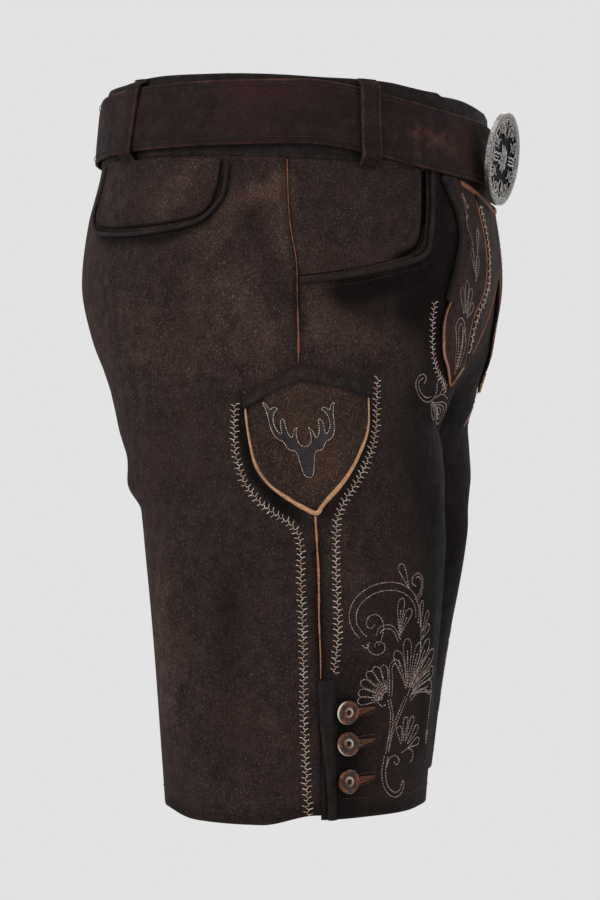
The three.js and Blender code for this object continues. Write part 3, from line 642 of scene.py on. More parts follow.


# how worn each place on the leather is, and where shade is painted into it, darker in troughs, under the
# pockets, round laid-on pieces, in the slits, along the hem and over the front: (side, strength, half width,
# line)

rubbed = [
    ("both", 0.3, 40, [(-60, -100), (-96, -140), (-110, -190)]),
    ("both", 0.25, 22, [(-10, -120), (-16, -180), (-14, -220)]),
    ("both", 0.75, 13, [(-4, -36), (-6, -70), (-8, -108)]),
    ("both", 0.6, 7, [(-70, -104), (-40, -76), (-14, -50)]),
    ("both", 0.35, 26, [(-40, -150), (-90, -170), (-150, -160)]),
    ("both", 0.28, 20, [(-110, -50), (-86, -66), (-60, -50)]),
    ("both", 0.4, 22, [(14, -128), (40, -150), (70, -166)]),
    ("both", 0.5, 12, [(8, -118), (16, -140), (14, -168)]),
    ("both", 0.22, 30, [(-160, -330), (-120, -400), (-100, -460)]),
    ("both", 0.25, 22, [(60, -60), (40, -84), (70, -84)]),
    ("both", 0.3, 14, [(24, -300), (30, -380), (28, -450)]),
]
shaded = [
    ("both", 0.8, 48, [(160, -60), (176, -150), (180, -230), (170, -300), (176, -400), (176, -496)]),
    ("both", 0.42, 52, [(62, -320), (66, -400), (70, -496)]),
    ("both", 0.4, 26, [(104, -100), (112, -150), (118, -190)]),
    ("both", 0.35, 34, [(110, -190), (112, -260), (116, -340), (116, -430), (116, -496)]),
    ("both", 0.6, 15, [(16, -404), (16, -450), (17, -492)]),
    ("both", 0.9, 10, [(12, -128), (50, -122), (86, -112), (112, -96), (122, -60), (124, -34)]),
    ("both", 0.55, 22, [(70, -146), (108, -140), (126, -120)]),
    ("both", 0.8, 6, [(-46, -34), (-47, -56), (-60, -78), (-100, -90), (-160, -88), (-190, -78)]),
    ("both", 0.45, 4, [(0, -36), (0, -120), (0, -176)]),
    ("right", 0.85, 6, [(-40, -196), (-45, -226), (-40, -254), (-24, -274), (-4, -288)]),
    ("right", 0.6, 6, [(52, -196), (45, -226), (32, -254), (14, -276), (4, -288)]),
    ("both", 0.6, 5, [(0, -290), (0, -350), (0, -396)]),
    ("both", 0.5, 7, [(3, -396), (6, -440), (9, -492)]),
    ("both", 0.7, 16, [(140, -60), (136, -110), (150, -150), (150, -180)]),
    ("both", 0.35, 30, [(120, -250), (150, -320), (160, -420), (150, -490)]),
    ("both", 0.3, 24, [(60, -210), (84, -260), (96, -330), (104, -420)]),
    ("both", 0.45, 7, [(-220, -492), (-100, -492), (0, -492), (120, -492)]),
    ("both", 0.5, 12, [(-300, -262), (-230, -268), (-170, -262)]),
]


def wearAndPaintedLight(side, s, z):
    values = []
    for table in (rubbed, shaded):
        total = np.zeros(np.shape(s))
        for which, strength, width, line in table:
            if which == "right" and side == leftSide:
                continue
            away, share = distanceTo(line, s, z)
            ends = 0.35 + 0.65 * smooth(0, 0.15, share) * smooth(0, 0.15, 1 - share)
            total += strength * ends * hump(away, 0, width)
        values.append(total)
    height = fold(side, s, z)
    # painted light: the tops of the creases are made lighter as a painted highlight and their troughs darker
    # as painted shade
    values[0] += 0.18 * np.clip(height, 0, 2.5)
    values[1] += 0.2 * np.clip(-height, 0, 3)
    return {"worn": np.clip(values[0], 0, 1), "paintedShadeAndTone": np.clip(values[1], 0, 1)}


# the four panels

gridStep = 2.4
panelTrim = {"seamDepth": 0.9, "seamReach": 2.2, "edgeDepth": 0.8, "edgeReach": 1.6}
pocketLevel = -135.0
pocketMouthPoints = [(-6, -116.6), (0, -116), (26, -112), (50, -107), (72, -101), (91, -95), (100, -88),
                     (104, -78), (107.5, -58), (110, bandBottom - 2 * seamGap)]
pocketMouth = evenPath(pocketMouthPoints, 0.8)
pocketMouth = pocketMouth[pocketMouth[:, 0] >= 0]


def panelGrid(side, s, z):
    marks = wearAndPaintedLight(side, s, z)
    hem = z - hemLevel
    lift = edgeFall(hem, panelTrim["edgeDepth"], panelTrim["edgeReach"])
    lift += edgeFall(np.abs(s) - seamGap, panelTrim["seamDepth"], panelTrim["seamReach"])
    end = np.where(s > 0, frontLength(z) - s, backLength(z) + s) - seamGap
    lift += edgeFall(end, panelTrim["seamDepth"], panelTrim["seamReach"])
    return lift, marks


def frontPanel(side, word):
    reach = np.concatenate([seamGap + np.array([0, 0.4, 1, 1.9, 3.2, 5]), np.arange(7.2, 87, gridStep),
                            np.arange(88, 110, 1.0), [110]])
    share = np.concatenate([np.arange(1, 56) / 58, 1 - np.array([5, 3.2, 1.9, 1, 0.4, 0]) / 110])
    low = hemLevel + closePacked(pocketLevel - hemLevel, gridStep) * (pocketLevel - hemLevel)
    low = low[low < pocketLevel - 1.5]
    climb = np.concatenate([np.arange(0, 0.86, 0.022), 1 - np.array(
        [0.12, 0.09, 0.065, 0.045, 0.03, 0.018, 0.009, 0.004, 0])])
    order = np.argsort(pocketMouth[:, 0])
    mouth = np.interp(reach, pocketMouth[order, 0], pocketMouth[order, 1])
    top = np.concatenate([mouth, np.full(len(share), mouth[-1])])
    z = np.concatenate([np.repeat(low[:, None], len(top), 1),
                        pocketLevel + climb[:, None] * (top[None, :] - pocketLevel)])
    inner = 110 + share[None, :] * (frontLength(z[:, len(reach):]) - seamGap - 110)
    s = np.concatenate([np.repeat(reach[None, :], len(z), 0), inner], 1)
    lift, marks = panelGrid(side, s, z)
    z = z + frontRise(s) * smooth(hemLevel + 60, hemLevel, z)
    away, _ = distanceTo(pocketMouth[::6], s, z)
    rim = np.where(s <= 110, away, 9)
    rim[-1, :len(reach)] = 0
    lift += edgeFall(rim, 0.9, 1.6)
    piece = leatherWall(f"front_panel_{word}", side, s, z, lift * 0.2 - leather, lift,
                        [leatherSkin, leatherLining, leatherDark], marks)
    return finishPiece(piece, "leather", f"front_{word}")


def frontRise(s):
    # how far the hem of the front stands above its lowest level
    return 3.4 + 0.8 * smooth(1, 40, s)


def hemRise(s):
    # how far the hem of the back stands above its lowest level
    return 3.2 * smooth(-96, -150, s) - 1.2 * hump(s, -75, 18) + 6.6 * smooth(-42, -4, s)


def backPanel(side, word):
    low = hemLevel + closePacked(bandBottom - hemLevel, gridStep) * (bandBottom - 2 * seamGap - hemLevel)
    share = closePacked(300, gridStep, (0, 0.4, 1, 1.9, 3.2, 5))
    z = np.repeat(low[:, None], len(share), 1)
    s = -(seamGap + share[None, :] * (backLength(z) - 2 * seamGap))
    lift, marks = panelGrid(side, s, z)
    z = z + hemRise(s) * smooth(hemLevel + 60, hemLevel, z)
    piece = leatherWall(f"back_panel_{word}", side, s, z, lift * 0.2 - leather, lift,
                        [leatherSkin, leatherLining, leatherDark], marks)
    return finishPiece(piece, "leather", f"back_{word}")


def pocketFacing(side, word):
    # the hip piece above the pocket mouth; its front edge dips under the mouth
    reach = np.concatenate([seamGap + 0.5 + np.array([0, 0.4, 1, 1.9]), np.arange(4, 72, gridStep),
                            np.arange(73, 101.5, 1.0)])
    climb = closePacked(85, 2.0, (0, 0.5, 1.1, 2.2, 4))
    order = np.argsort(pocketMouth[:, 0])
    foot = np.interp(reach, pocketMouth[order, 0], pocketMouth[order, 1]) + 0.8
    spread = 13.5 * smooth(60, 101, reach)[None, :] * (1 - (1 - climb[:, None]) ** 2.4)
    s = reach[None, :] + spread
    z = foot[None, :] + climb[:, None] * (bandBottom - 2 * seamGap - foot[None, :])
    away, _ = distanceTo(pocketMouth[::6], s, z)
    inside = np.where(s > np.interp(z, pocketMouth[:, 1], pocketMouth[:, 0]), -away, away)
    turn = smooth(62, 92, s)
    lift = -0.5 - turn * 4.2 * (1 - smooth(0.5, 6.5, inside)) + turn * 0.9 * hump(inside, 8, 4)
    lift += edgeFall(np.abs(s) - seamGap - 0.5, 0.8, 2)
    marks = wearAndPaintedLight(side, s, z)
    # painted shadow: the facing is darkened into the gap under the pocket mouth, half as much further up
    marks["paintedShadeAndTone"] = np.clip(marks["paintedShadeAndTone"] + turn * (1 - smooth(2.5, 6.5, inside)), 0, 1)
    marks["paintedShadeAndTone"] *= np.where(inside > 8, 0.5, 1)
    piece = leatherWall(f"pocket_facing_{word}", side, s, z, lift - leather, lift, leatherSkin, marks)
    return finishPiece(piece, "leather", f"hip_facing_{word}")


def pocketPiping(side, word):
    points = [(s + 3.0, z - 3.6) for s, z in pocketMouthPoints[2:]]
    points = [(1.8, -120), *points]
    points[-2:] = [(111.5, -55), (113, bandBottom - 0.5)]
    piece = cordOnLeather(f"pocket_piping_{word}", side, points, 1.8, 1.9, leatherDark, 1.4, 12, 0.85, 0.05)
    return finishPiece(piece, "leather_dark", f"front_pocket_piping_{word}")


for side, word in ((rightSide, "right"), (leftSide, "left")):
    frontPanel(side, word)
    backPanel(side, word)
    pocketFacing(side, word)
    pocketPiping(side, word)
print("panels made")


# back pocket on the right hip

pocketPatch = {"outer": -183, "inner": -50, "outerLean": 14, "innerLean": 4, "top": -33.5,
               "low": 0.55, "high": 1.9}
backPocketFoot = evenPath([(-183, -70), (-176, -78), (-155, -81), (-118, -82), (-86, -79), (-65, -74),
                           (-55, -65), (-50, -52)], 1.0)


def backPocket():
    wide = pocketPatch["inner"] - pocketPatch["outer"]
    across = closePacked(wide, 2.2, rimSteps)
    climb = closePacked(45, 1.8, rimSteps)
    foot = pocketPatch["outer"] + across * wide
    order = np.argsort(backPocketFoot[:, 0])
    low = np.interp(foot, backPocketFoot[order, 0], backPocketFoot[order, 1])
    lean = pocketPatch["outerLean"] + across * (pocketPatch["innerLean"] - pocketPatch["outerLean"])
    s = foot[None, :] + lean[None, :] * climb[:, None]
    z = low[None, :] + climb[:, None] * (pocketPatch["top"] - low[None, :])
    rim, _ = distanceTo(backPocketFoot[::4], s, z)
    rim = np.minimum(rim, np.minimum(across, 1 - across)[None, :] * wide)
    swell = 1.3 * smooth(0, 26, rim) - 0.8 * hump(rim, 5, 1.6)
    high = pocketPatch["high"] + swell + edgeFall(rim, 1.0, 1.8)
    marks = wearAndPaintedLight(rightSide, s, z)
    # painted shade along the rim where the patch meets the piping, and a darker band down its middle
    marks["paintedShadeAndTone"] = np.clip(0.8 * hump(rim, 0, 2.2) + 0.25 * hump(s, -120, 18), 0, 1)
    marks["worn"] = np.clip(0.55 * hump(s + 84, (z + 60) * 0.8, 14)
                            + 0.3 * hump(s + 138, (z + 60) * 0.7, 15), 0, 1)
    piece = leatherWall("back_pocket_patch", rightSide, s, z, pocketPatch["low"], high, leatherSkin, marks)
    finishPiece(piece, "leather", "back_pocket")
    points = [(-171, -35), (-179, -55), (-187.5, -72), (-180, -82), (-155, -85.5), (-118, -86.5), (-86, -83),
              (-63, -77), (-49, -64), (-44.5, -52), (-42, -36)]
    cord = cordOnLeather("back_pocket_cord", rightSide, points, 1.5, 1.8, leatherDark, 1.4, 12, 0.85, 0.05)
    finishPiece(cord, "leather_dark", "back_pocket_piping")
    return piece


pocketPiece = backPocket()


# cut edges of leather that show in the side seams

def edgeStrip(name, side, path, width, low, high, material, ragged, step=1.5):
    route = evenPath(path, step)
    along = np.gradient(route, axis=0)
    along /= np.linalg.norm(along, axis=1, keepdims=True)
    count = len(route)
    share = np.arange(count) / (count - 1)
    noise = np.convolve(rng.normal(size=count + 8), np.ones(5) / 5, "same")[4:-4]
    if isinstance(width, list):
        width = readTable(width, share)
    half = width / 2 * (1 + ragged * noise)
    half = np.maximum(half, 0.25)
    across = np.array([-1, -0.8, -0.4, 0, 0.4, 0.8, 1])
    s = route[:, None, 0] - along[:, None, 1] * half[:, None] * across
    z = route[:, None, 1] + along[:, None, 0] * half[:, None] * across
    top = low + (high - low) * np.sqrt(np.clip(1.02 - across ** 2, 0, 1))[None, :]
    return leatherWall(name, side, s, z, np.broadcast_to(low, s.shape), np.broadcast_to(top, s.shape),
                       material)


seamEdges = [
    ("seam_edge_right_upper", "side_piping_right_upper", rightSide, -32.5, -176.5,
     [(0, 0.7), (0.15, 1.1), (0.35, 0.9), (0.5, 0.5), (0.62, 0.6), (0.8, 1.2), (1, 1.3)]),
    ("seam_edge_right_lower", "side_piping_right_lower", rightSide, -282.5, -395,
     [(0, 1.7), (0.4, 1.5), (0.7, 1.2), (0.9, 0.9), (1, 0.6)]),
    ("seam_edge_left", "side_piping_left", leftSide, -32.5, -395,
     [(0, 1.0), (0.3, 0.8), (0.6, 1.6), (1, 1.6)]),
]
for name, node, side, top, foot, width in seamEdges:
    path = [(0.25 * math.sin(z / 9), z) for z in np.linspace(top, foot, 14)]
    worn = flapEdge if name.endswith("lower") else tanEdgeWorn
    finishPiece(edgeStrip(name, side, path, width, 0.15, 1.25, worn, 0.45), "tan_edge", node)


# waistband

def waistband(side, word):
    across = closePacked(440, 2.6, (0, 0.5, 1.2, 2.4)) * 2 - 1
    climb = closePacked(59, 1.8, (0, 0.35, 0.9, 1.7, 2.9))
    z = np.repeat((bandBottom + climb * (bandTop - bandBottom))[:, None], len(across), 1)
    s = np.where(across < 0, across * backLength(z), across * frontLength(z))
    edge = np.minimum(z - bandBottom, bandTop - z)
    sag = 3.6 * smooth(-60, -150, s) + 0.5 * np.sin(s / 14)
    sag += 1.5 * smooth(60, 110, s) + 2.0 * smooth(120, 128, s)
    z = z - sag * smooth(0, 1, climb)[:, None]
    s = np.where(across < 0, across * backLength(z), across * frontLength(z))
    wave = 0.35 * np.sin(s / 23 + side) + 0.25 * np.sin(s / 9.0)
    line = hump(z - bandBottom, 4.5, 0.8) + hump(bandTop - z, 4, 0.8)
    high = 0.9 + 0.3 * wave + edgeFall(edge, 1.3, 2.2) - 0.35 * line
    low = -2.4 + 0.2 * wave
    # a lighter line along the lower edge, painted highlight; the rest is evenly darker in tone
    marks = {"worn": 0.25 * hump(z - bandBottom, 1, 2), "paintedShadeAndTone": 0.25 * np.ones_like(s)}
    piece = leatherWall(f"waist_band_{word}", side, s, z, low, high,
                        [leatherDark, leatherLining, leatherDark], marks)
    return finishPiece(piece, "leather", f"waistband_{word}")


for side, word in ((rightSide, "right"), (leftSide, "left")):
    waistband(side, word)


# belt

belt = {"width": 46.0, "thickness": 3.2, "lift": 3.3, "frontDrop": 18.0, "open": 4.0}
waistTilt = float(sectionsAt(0)["tilt"][0, 0])


def beltLevel(y):
    return -belt["frontDrop"] * smooth(30, 140, -y)


def beltPlace(side, q, rise, lift):
    s = np.where(q < 0, q * backLength(0), q * (frontLength(0) - belt["open"]))
    y = gridRead(grids[side][0], s, np.zeros_like(s))[..., 1]
    z = beltLevel(y) + rise - waistTilt * y
    length = np.where(q < 0, backLength(z) / backLength(0), frontLength(z) / frontLength(0))
    return onLeather(side, s * length, z, lift)[0]


def beltStrap():
    rise = (closePacked(belt["width"], 1.7, (0, 0.3, 0.7, 1.3, 2.2, 3.4)) - 0.5) * belt["width"]
    turn = np.linspace(-2, 2, 520)
    q = np.abs(turn) - 1
    sheets = []
    edge = belt["width"] / 2 - np.abs(rise)
    travel = turn[:, None] * 220
    wave = (0.35 * np.sin(travel / 31) + 0.2 * np.sin(travel / 13 + rise[None, :] / 20)
            + 0.12 * np.sin(travel / 5.3 - rise[None, :] / 9))
    groove = 0.45 * hump(edge, 4.2, 0.7)[None, :]
    crown = 0.5 * smooth(0, 12, edge)[None, :]
    for base in (belt["lift"], belt["lift"] + belt["thickness"]):
        upper = base > belt["lift"]
        fall = edgeFall(edge, 1.1, 1.8)[None, :] if upper else -edgeFall(edge, 0.6, 1.4)[None, :]
        lift = base + fall + (wave + crown - groove - 0.5 if upper else wave * 0.5)
        half = []
        for side, chosen in ((rightSide, turn < 0), (leftSide, turn >= 0)):
            qs = np.repeat(q[chosen][:, None], len(rise), 1)
            half.append(beltPlace(side, qs, np.broadcast_to(rise, qs.shape), lift[chosen]))
        sheets.append(np.concatenate(half))
    rub = 0.5 * hump(rise[None, :], 23, 1.3) * np.ones((len(turn), 1))
    lowerRub = 0.35 * hump(rise[None, :], -22.6, 0.9) * np.ones((len(turn), 1))
    shade = 0.3 * (smooth(-14, -21, rise) * smooth(-23, -21.5, rise))[None, :] * np.ones((len(turn), 1))
    centre = np.sign(travel) * 330
    patch = 0.45 * np.exp(-((travel - centre) / 30) ** 2 - (rise[None, :] / 10) ** 2)
    marks = {"worn": rub + lowerRub + patch, "paintedShadeAndTone": shade}
    piece = closedWall("belt_strap", sheets[0], sheets[1], [beltSkin, leatherLining, beltSkin], marks)
    return finishPiece(piece, "belt", "belt")


def beltRow(rise, lift, step):
    # an even row of places round the belt, one step of the strap apart
    places = []
    for side in (rightSide, leftSide):
        q = np.linspace(1, -1, 900)
        line = beltPlace(side, q, np.full_like(q, rise), np.full_like(q, lift))
        places.append(line if side == rightSide else line[::-1])
    return evenSteps(np.concatenate(places), step)


beltPiece = beltStrap()

loopShape = {"width": 14.4, "thickness": 2.2, "clearance": 0.5, "tilt": 0.045}
loopPlaces = [("front", 56, 58, 2.4), ("back", -118, -130, 1.0)]


def beltLoop(side, word, where, top, foot, play):
    over = belt["lift"] + belt["thickness"] + loopShape["clearance"]
    y = float(gridRead(grids[side][0], foot, 0)[..., 1])
    middle = beltLevel(y) - loopShape["tilt"] * y
    reach = belt["width"] / 2 + play
    profile = evenPath([(-reach - 5.5, 0.9), (-reach - 3.6, 1.5), (-reach - 1.2, over - 0.7),
                        (-reach + 4, over + 0.25), (0, over + 0.1), (reach - 4, over + 0.25),
                        (reach + 1.2, over - 0.7), (reach + 3.6, 1.5), (reach + 5.5, 0.9)], 1.1)
    across = np.array([-1, -0.96, -0.88, -0.76, -0.6, -0.4, -0.2, 0, 0.2, 0.4, 0.6, 0.76, 0.88, 0.96, 1])
    v = np.arange(len(profile)) / (len(profile) - 1)
    s = foot + (top - foot) * v[:, None] + across * loopShape["width"] / 2 + 0 * v[:, None]
    z = np.minimum(middle + profile[:, :1] + 0 * across, bandTop)
    lift = profile[:, 1:] + 0 * across
    edge = (1 - np.abs(across)) * loopShape["width"] / 2
    rounded = edgeFall(edge, 2.0, 3.4) + 0.9 - 0.35 * hump(edge, 3.2, 0.6)
    marks = {"worn": 0.6 * hump(edge[None, :], 1, 0.8) * np.ones_like(s),
             "paintedShadeAndTone": 0.2 * np.ones_like(s)}
    outer = lift + loopShape["thickness"] + rounded
    piece = leatherWall(f"belt_keeper_{where}_{word}", side, s, z, lift, outer, loopSkin, marks)
    return finishPiece(piece, "leather_dark", f"belt_loop_{where}_{word}")


for side, word in ((rightSide, "right"), (leftSide, "left")):
    for where, top, foot, play in loopPlaces:
        beltLoop(side, word, where, top, foot, play)
print("pockets, waistband and belt made")


# fly flap and its two shaped strips; distances are from the middle of the front

stripInner = [(-192, 98), (-174, 76), (-161, 82), (-147, 80), (-136, 75), (-116, 58), (-92, 51), (-79, 50),
              (-59, 55), (-36, 66)]
stripOuter = [(-192, 99.5), (-174, 113), (-165, 121), (-143, 123), (-127, 116), (-106, 107), (-84, 95),
              (-67, 92), (-51, 98), (-33, 107)]
flapShape = {"top": -33.5, "dip": 17.0, "half": 99.0, "apex": -97.0, "foot": -174.0, "footReach": 76.0,
             "low": 0.9, "high": 2.1}


def smoothTable(table):
    # a line with its inner corners rounded off, as (z, c) rows from the lowest level up
    return evenPath(table[1:], 1.0)


innerLine, outerLine = smoothTable(stripInner), smoothTable(stripOuter)


def innerReach(z):
    return np.where(z < -174, np.interp(z, [-192, -174], [98, 76]),
                    np.interp(z, innerLine[:, 0], innerLine[:, 1]))


def outerReach(z):
    return np.where(z < -174, np.interp(z, [-192, -174], [99.5, 113]),
                    np.interp(z, outerLine[:, 0], outerLine[:, 1]))


def flapTop(c):
    return flapShape["top"] - flapShape["dip"] * np.maximum(1 - c / flapShape["half"], 0)


def flapFoot(c):
    share = np.minimum(c / flapShape["footReach"], 1) ** 0.8
    return flapShape["apex"] + (flapShape["foot"] - flapShape["apex"]) * share


def bothSidesWall(name, reach, z, low, high, material, marks=None):
    # reach is signed: right of the middle is negative
    grid = []
    for lift in (low, high):
        right, _ = onLeather(rightSide, fromMiddle(np.abs(reach), z), z, lift)
        left, _ = onLeather(leftSide, fromMiddle(np.abs(reach), z), z, lift)
        here = np.where((reach <= 0)[..., None], right, left)
        middle = np.abs(reach) < 0.01
        here[middle] = (right[middle] + left[middle]) / 2
        grid.append(here)
    return closedWall(name, grid[0], grid[1], material, marks)


def flapPanel():
    share = closePacked(150, 2.0, rimSteps) * 2 - 1
    share[np.argmin(np.abs(share))] = 0
    climb = closePacked(110, 2.0, rimSteps)
    reach = np.abs(share)[None, :]
    foot, top = flapFoot(reach * flapShape["footReach"]), flapTop(reach * 66)
    z = foot + climb[:, None] * (top - foot)
    c = reach * (innerReach(z) - 2 * seamGap)
    wide = np.sign(share)[None, :] * c
    rim = np.minimum(z - foot, (1 - reach) * innerReach(z))
    pucker = 0.35 * np.sin(wide / 6.5 + z / 17) * smooth(20, 0, rim) + 0.8 * np.sin(z / 21 + wide / 30)
    high = flapShape["high"] + edgeFall(rim, 1.0, 1.8) + 0.5 * pucker + 0.5
    low = flapShape["low"] + 0.5 * pucker * smooth(0, 8, rim) + 0 * z
    # painted shade round the rim of the flap, over an evenly darker tone
    marks = {"worn": 0.3 * hump(rim, 10, 8), "paintedShadeAndTone": np.clip(0.6 * hump(rim, 0, 3) + 0.15, 0, 1)}
    piece = bothSidesWall("fly_flap", wide, z, low, high, leatherSkin, marks)
    return finishPiece(piece, "leather", "flap")


def flapStrip(side, word):
    share = closePacked(44, 1.5, rimSteps)
    climb = closePacked(135, 1.8, rimSteps)
    foot = -192 + (flapShape["foot"] + 192) * share
    top = flapShape["top"] + 1 + (flapTop(66) - flapShape["top"] - 1) * share
    z = foot[None, :] + climb[:, None] * (top - foot)[None, :]
    outer, inner = outerReach(z), innerReach(z) + 2 * seamGap
    c = outer + (inner - outer) * share[None, :]
    fromOuter, fromInner = np.abs(outer - c), np.abs(c - inner)
    ridge = 0.7 * hump(fromOuter, 11, 3.2) - 0.5 * hump(fromOuter, 5.5, 1.6)
    rim = np.minimum(np.minimum(fromOuter, fromInner), (z - foot[None, :]) * 0.8)
    high = flapShape["high"] + 0.5 + edgeFall(rim, 1.1, 1.8) + ridge * smooth(0, 12, fromInner)
    # painted shade round its rim and in the groove beside the outer ridge; the ridge itself is rubbed lighter
    marks = {"worn": np.clip(0.35 * hump(fromOuter, 11, 3), 0, 1),
             "paintedShadeAndTone": np.clip(0.5 * hump(rim, 0, 2.4) + 0.2 * hump(fromOuter, 5.5, 2), 0, 1)}
    piece = leatherWall(f"flap_side_{word}", side, fromMiddle(c, z), z, flapShape["low"] + 0 * z, high,
                        leatherSkin, marks)
    return finishPiece(piece, "leather", f"flap_strip_{word}")


def flapRoll(side, word):
    levels = np.array([-35, -42, -51, -60, -70, -80, -90, -100, -110, -119, -128], float)
    path = [(float(fromMiddle(outerReach(z) + 2.9, z)), z) for z in levels]
    piece = cordOnLeather(f"flap_rolled_edge_{word}", side, path, 2.3, 2.2, leatherDark, 1.4, 14, 0.95, 0.05)
    return finishPiece(piece, "leather_dark", f"flap_roll_{word}")


def stripEdge(side, word):
    outer = [(outerReach(z) - 0.9, z) for z in (-129, -137, -145, -152, -158, -164, -170, -177, -184)]
    innerLevels = (-168, -161, -154, -147, -141, -136, -126, -116, -104, -92, -79, -69, -59, -48)
    inner = [(innerReach(z) + 1.3, z) for z in innerLevels]
    corners = [*outer, (99, -190), (88, -182.5), (79, -175.2)]
    route = [(float(fromMiddle(c, z)), z) for c, z in corners]
    widths = [(0, 0.5), (0.16, 0.6), (0.22, 2.4), (0.4, 2.8), (0.6, 2.0), (0.8, 1.4), (1, 1.2)]
    main = edgeStrip(f"strip_edge_{word}", side, route, widths, 2.3, 3.4, flapEdge, 0.3)
    finishPiece(main, "tan_edge", f"strip_binding_{word}")
    route = [(float(fromMiddle(c, z)), z) for c, z in [(79, -174.2), *inner]]
    thin = edgeStrip(f"strip_inner_edge_{word}", side, route, 0.9, 2.0, 3.0, flapEdge, 0.3)
    finishPiece(thin, "tan_edge")
    return main


def middleEdge(name, node, level, reach, width):
    c = np.linspace(-reach, reach, 110)
    across = np.array([-1, -0.8, -0.4, 0, 0.4, 0.8, 1])
    z = level(np.abs(c))[:, None] + across[None, :] * width / 2
    wide = np.repeat(c[:, None], len(across), 1)
    top = 2.3 + 1.1 * np.sqrt(np.clip(1.02 - across ** 2, 0, 1))[None, :] + 0 * z
    piece = bothSidesWall(name, wide, z, 2.3 + 0 * z, top, tanEdgeWorn)
    return finishPiece(piece, "tan_edge", node)


flapPiece = flapPanel()
for side, word in ((rightSide, "right"), (leftSide, "left")):
    flapStrip(side, word)
    flapRoll(side, word)
    stripEdge(side, word)
middleEdge("flap_top_edge", "flap_binding_top", lambda c: flapTop(c) - 1.8, 86, 4.0)
middleEdge("flap_foot_edge", "flap_binding_foot", lambda c: flapFoot(c) + 1.2, 66, 1.3)
print("flap made")


# knife pocket on the right leg

shieldLeft = [(-281, 0), (-276, -10), (-271, -18), (-262, -30), (-252, -37), (-240, -40), (-220, -41),
              (-197, -39)]
shieldRight = [(-281, 1), (-276, 5.5), (-271, 10), (-262, 19), (-252, 27.5), (-240, 35.5), (-220, 45),
               (-190, 50)]
shield = {"foot": -281.0, "peakS": 2.0, "peak": -178.0, "leftCorner": -198.0, "rightCorner": -190.0,
          "band": 11.0, "low": 0.85, "high": 2.3}
leftEdgeLine = evenPath(shieldLeft, 1.0)
rightEdgeLine = evenPath(shieldRight, 1.0)


def shieldTop(s):
    left = shield["peak"] + (shield["leftCorner"] - shield["peak"]) * (shield["peakS"] - s) / 41
    right = shield["peak"] + (shield["rightCorner"] - shield["peak"]) * (s - shield["peakS"]) / 48
    corner = np.where(s < shield["peakS"], left, right)
    return corner - 0.7 * hump(s, shield["peakS"], 4)


def knifePocket():
    across = closePacked(84, 1.6, rimSteps)
    climb = closePacked(96, 1.7, rimSteps)
    edgeZ = shield["foot"] + climb * (-193 - shield["foot"])
    left = np.interp(edgeZ, leftEdgeLine[:, 0], leftEdgeLine[:, 1])
    right = np.interp(edgeZ, rightEdgeLine[:, 0], rightEdgeLine[:, 1])
    s = left[:, None] + across[None, :] * (right - left)[:, None]
    top = shieldTop(s) - shield["band"] + 1.5
    z = shield["foot"] + climb[:, None] * (top - shield["foot"])
    rim = np.minimum(np.minimum(across, 1 - across)[None, :] * (right - left)[:, None], 30)
    seam = hump(rim, 4.6, 0.8)
    high = shield["high"] + 1.6 * smooth(0, 20, rim) - 0.5 * seam + edgeFall(rim, 1.2, 1.8)
    high += 0.5 * np.sin(s / 8 + z / 13) * smooth(4, 16, rim)
    # painted shade round its rim and a painted shadow under the band along its top
    marks = {"worn": np.clip(0.35 * np.exp(-((s - 12) / 16) ** 2 - ((z + 255) / 18) ** 2) + 0.2, 0, 1),
             "paintedShadeAndTone": np.clip(0.75 * hump(rim, 0, 3) + 0.6 * hump(top - z, 0, 2.5), 0, 1)}
    face = leatherWall("knife_pocket", rightSide, s, z, shield["low"] + 0 * z, high, shieldSkin, marks)
    finishPiece(face, "leather", "shield_face")

    wide = closePacked(92, 1.5, rimSteps)
    deep = closePacked(11, 0.8, (0, 0.3, 0.8, 1.5))
    s = (-39.5 + wide * 89)[None, :] + 0 * deep[:, None]
    z = shieldTop(s) - (1 - deep[:, None]) * shield["band"]
    s = s + (1 - deep[:, None]) * np.where(s > 0, -1.5, -0.8) * np.abs(s) / 45
    rim = np.minimum(deep, 1 - deep)[:, None] * shield["band"] + 0 * s
    high = shield["high"] + 1.9 + edgeFall(rim, 1.4, 2.2) + 0.3 * np.sin(s / 6)
    # painted shade along its edges
    marks = {"worn": 0.25 * hump(rim, 4, 2), "paintedShadeAndTone": 0.5 * hump(rim, 0, 1.5)}
    band = leatherWall("knife_pocket_band", rightSide, s, z, shield["high"] + 0.2 + 0 * z, high, leatherDark,
                       marks)
    finishPiece(band, "leather_dark", "shield_band")

    path = [(s + 1.1, z) for z, s in shieldLeft[:0:-1]] + [(0.5, shield["foot"] + 0.5)]
    path += [(s - 1.1, z) for z, s in shieldRight[1:]]
    widths = [(0, 1.2), (0.12, 2.0), (0.3, 3.2), (0.5, 3.4), (0.7, 3.0), (0.85, 2.0), (1, 1.4)]
    edge = edgeStrip("knife_pocket_edge", rightSide, path, widths, 0.9, 3.0, tanEdge, 0.2)
    finishPiece(edge, "tan_edge", "shield_binding")
    return face, band


shieldPieces = knifePocket()


# stitching: every stitch is one short rounded bead of thread, and the beads of a row are one mesh

